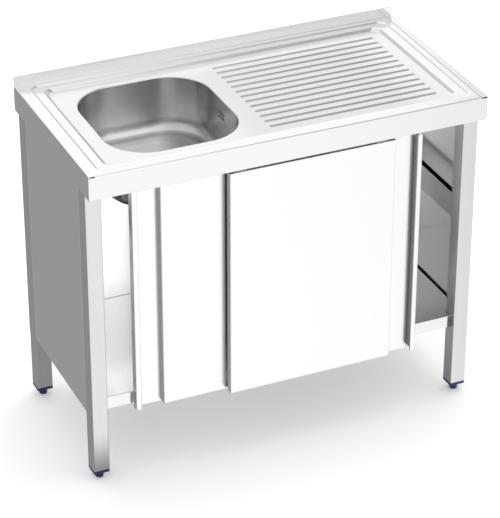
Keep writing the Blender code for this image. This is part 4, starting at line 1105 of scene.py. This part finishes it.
def buildSky():
    world = bpy.data.worlds.new("studioSky")
    scene.world = world
    world.use_nodes = True
    tree = world.node_tree
    tree.nodes.clear()
    axes = splitPlace(tree, "Generated")
    across = mathNode(tree, "MULTIPLY_ADD", axes["X"], 0.5, 0.5)
    # levels are kept below 1 in the ramps and brought back after the blend
    levels = {}
    for part, stops in sky["mirrored"].items():
        shares = [(right / 2 + 0.5, level / sky["most"]) for right, level in stops]
        levels[part] = levelRamp(tree, across, shares)
    depth = mapRange(tree, axes["Y"], sky["depthBlend"], soft=True)
    below = mixColour(tree, depth, levels["belowFront"], levels["belowBehind"])
    around = mixColour(tree, depth, levels["front"], levels["behind"])
    upper = mixColour(tree, mapRange(tree, axes["Z"], sky["aboveBlend"], soft=True), around, levels["above"])
    level = mixColour(tree, mapRange(tree, axes["Z"], sky["belowBlend"], soft=True), below, upper)
    shine = tree.nodes.new("ShaderNodeBackground")
    tree.links.new(level, shine.inputs["Color"])
    shine.inputs["Strength"].default_value = sky["most"]
    path = tree.nodes.new("ShaderNodeLightPath")
    plain = tree.nodes.new("ShaderNodeBackground")
    plain.inputs["Color"].default_value = grey(1.0)
    strength = mathNode(tree, "MULTIPLY_ADD", path.outputs["Is Camera Ray"], 1 - sky["plain"], sky["plain"])
    tree.links.new(strength, plain.inputs["Strength"])
    out = tree.nodes.new("ShaderNodeOutputWorld")
    tree.links.new(mixShaders(tree, path.outputs["Is Glossy Ray"], plain.outputs["Background"],
                              shine.outputs["Background"]), out.inputs["Surface"])


def buildLamp(name, place, facing, size, power, glossy=True):
    lamp = bpy.data.lights.new(name, "AREA")
    lamp.shape = "RECTANGLE"
    lamp.size, lamp.size_y = size
    lamp.energy = power
    obj = bpy.data.objects.new(name, lamp)
    scene.collection.objects.link(obj)
    obj.location = place
    obj.rotation_euler = Vector(facing).to_track_quat("-Z", "Y").to_euler()
    obj.visible_camera = False
    obj.visible_glossy = glossy


buildFloor()
buildSky()
buildLamp("softKey", stage["keyPlace"], Vector(stage["keyAim"]) - Vector(stage["keyPlace"]),
          stage["keySize"], stage["keyPower"], glossy=False)
for name, fill in fills.items():
    buildLamp(name, *fill)

view = {
    "lens": 169.366, "sensor": 36.0, "azimuth": -24.03, "elevation": 30.11, "roll": 0.092,
    "distance": 5.965, "target": (0.0015, 0.0, 0.3837),
}


def buildCamera():
    azimuth = math.radians(view["azimuth"])
    elevation = math.radians(view["elevation"])
    roll = math.radians(view["roll"])
    back = Vector((math.sin(azimuth) * math.cos(elevation), -math.cos(azimuth) * math.cos(elevation),
                   math.sin(elevation)))
    right = Vector((0, 0, 1)).cross(back).normalized()
    up = back.cross(right)
    axisX = math.cos(roll) * right + math.sin(roll) * up
    axisY = -math.sin(roll) * right + math.cos(roll) * up
    spot = Vector(view["target"]) + back * view["distance"]
    lens = bpy.data.cameras.new("photoView")
    lens.lens = view["lens"]
    lens.sensor_width = view["sensor"]
    obj = bpy.data.objects.new("photoView", lens)
    scene.collection.objects.link(obj)
    rows = [[axisX[i], axisY[i], back[i], spot[i]] for i in range(3)] + [[0, 0, 0, 1]]
    obj.matrix_world = Matrix(rows)
    scene.camera = obj


buildCamera()
scene.view_settings.view_transform = "Standard"
print("stage made")
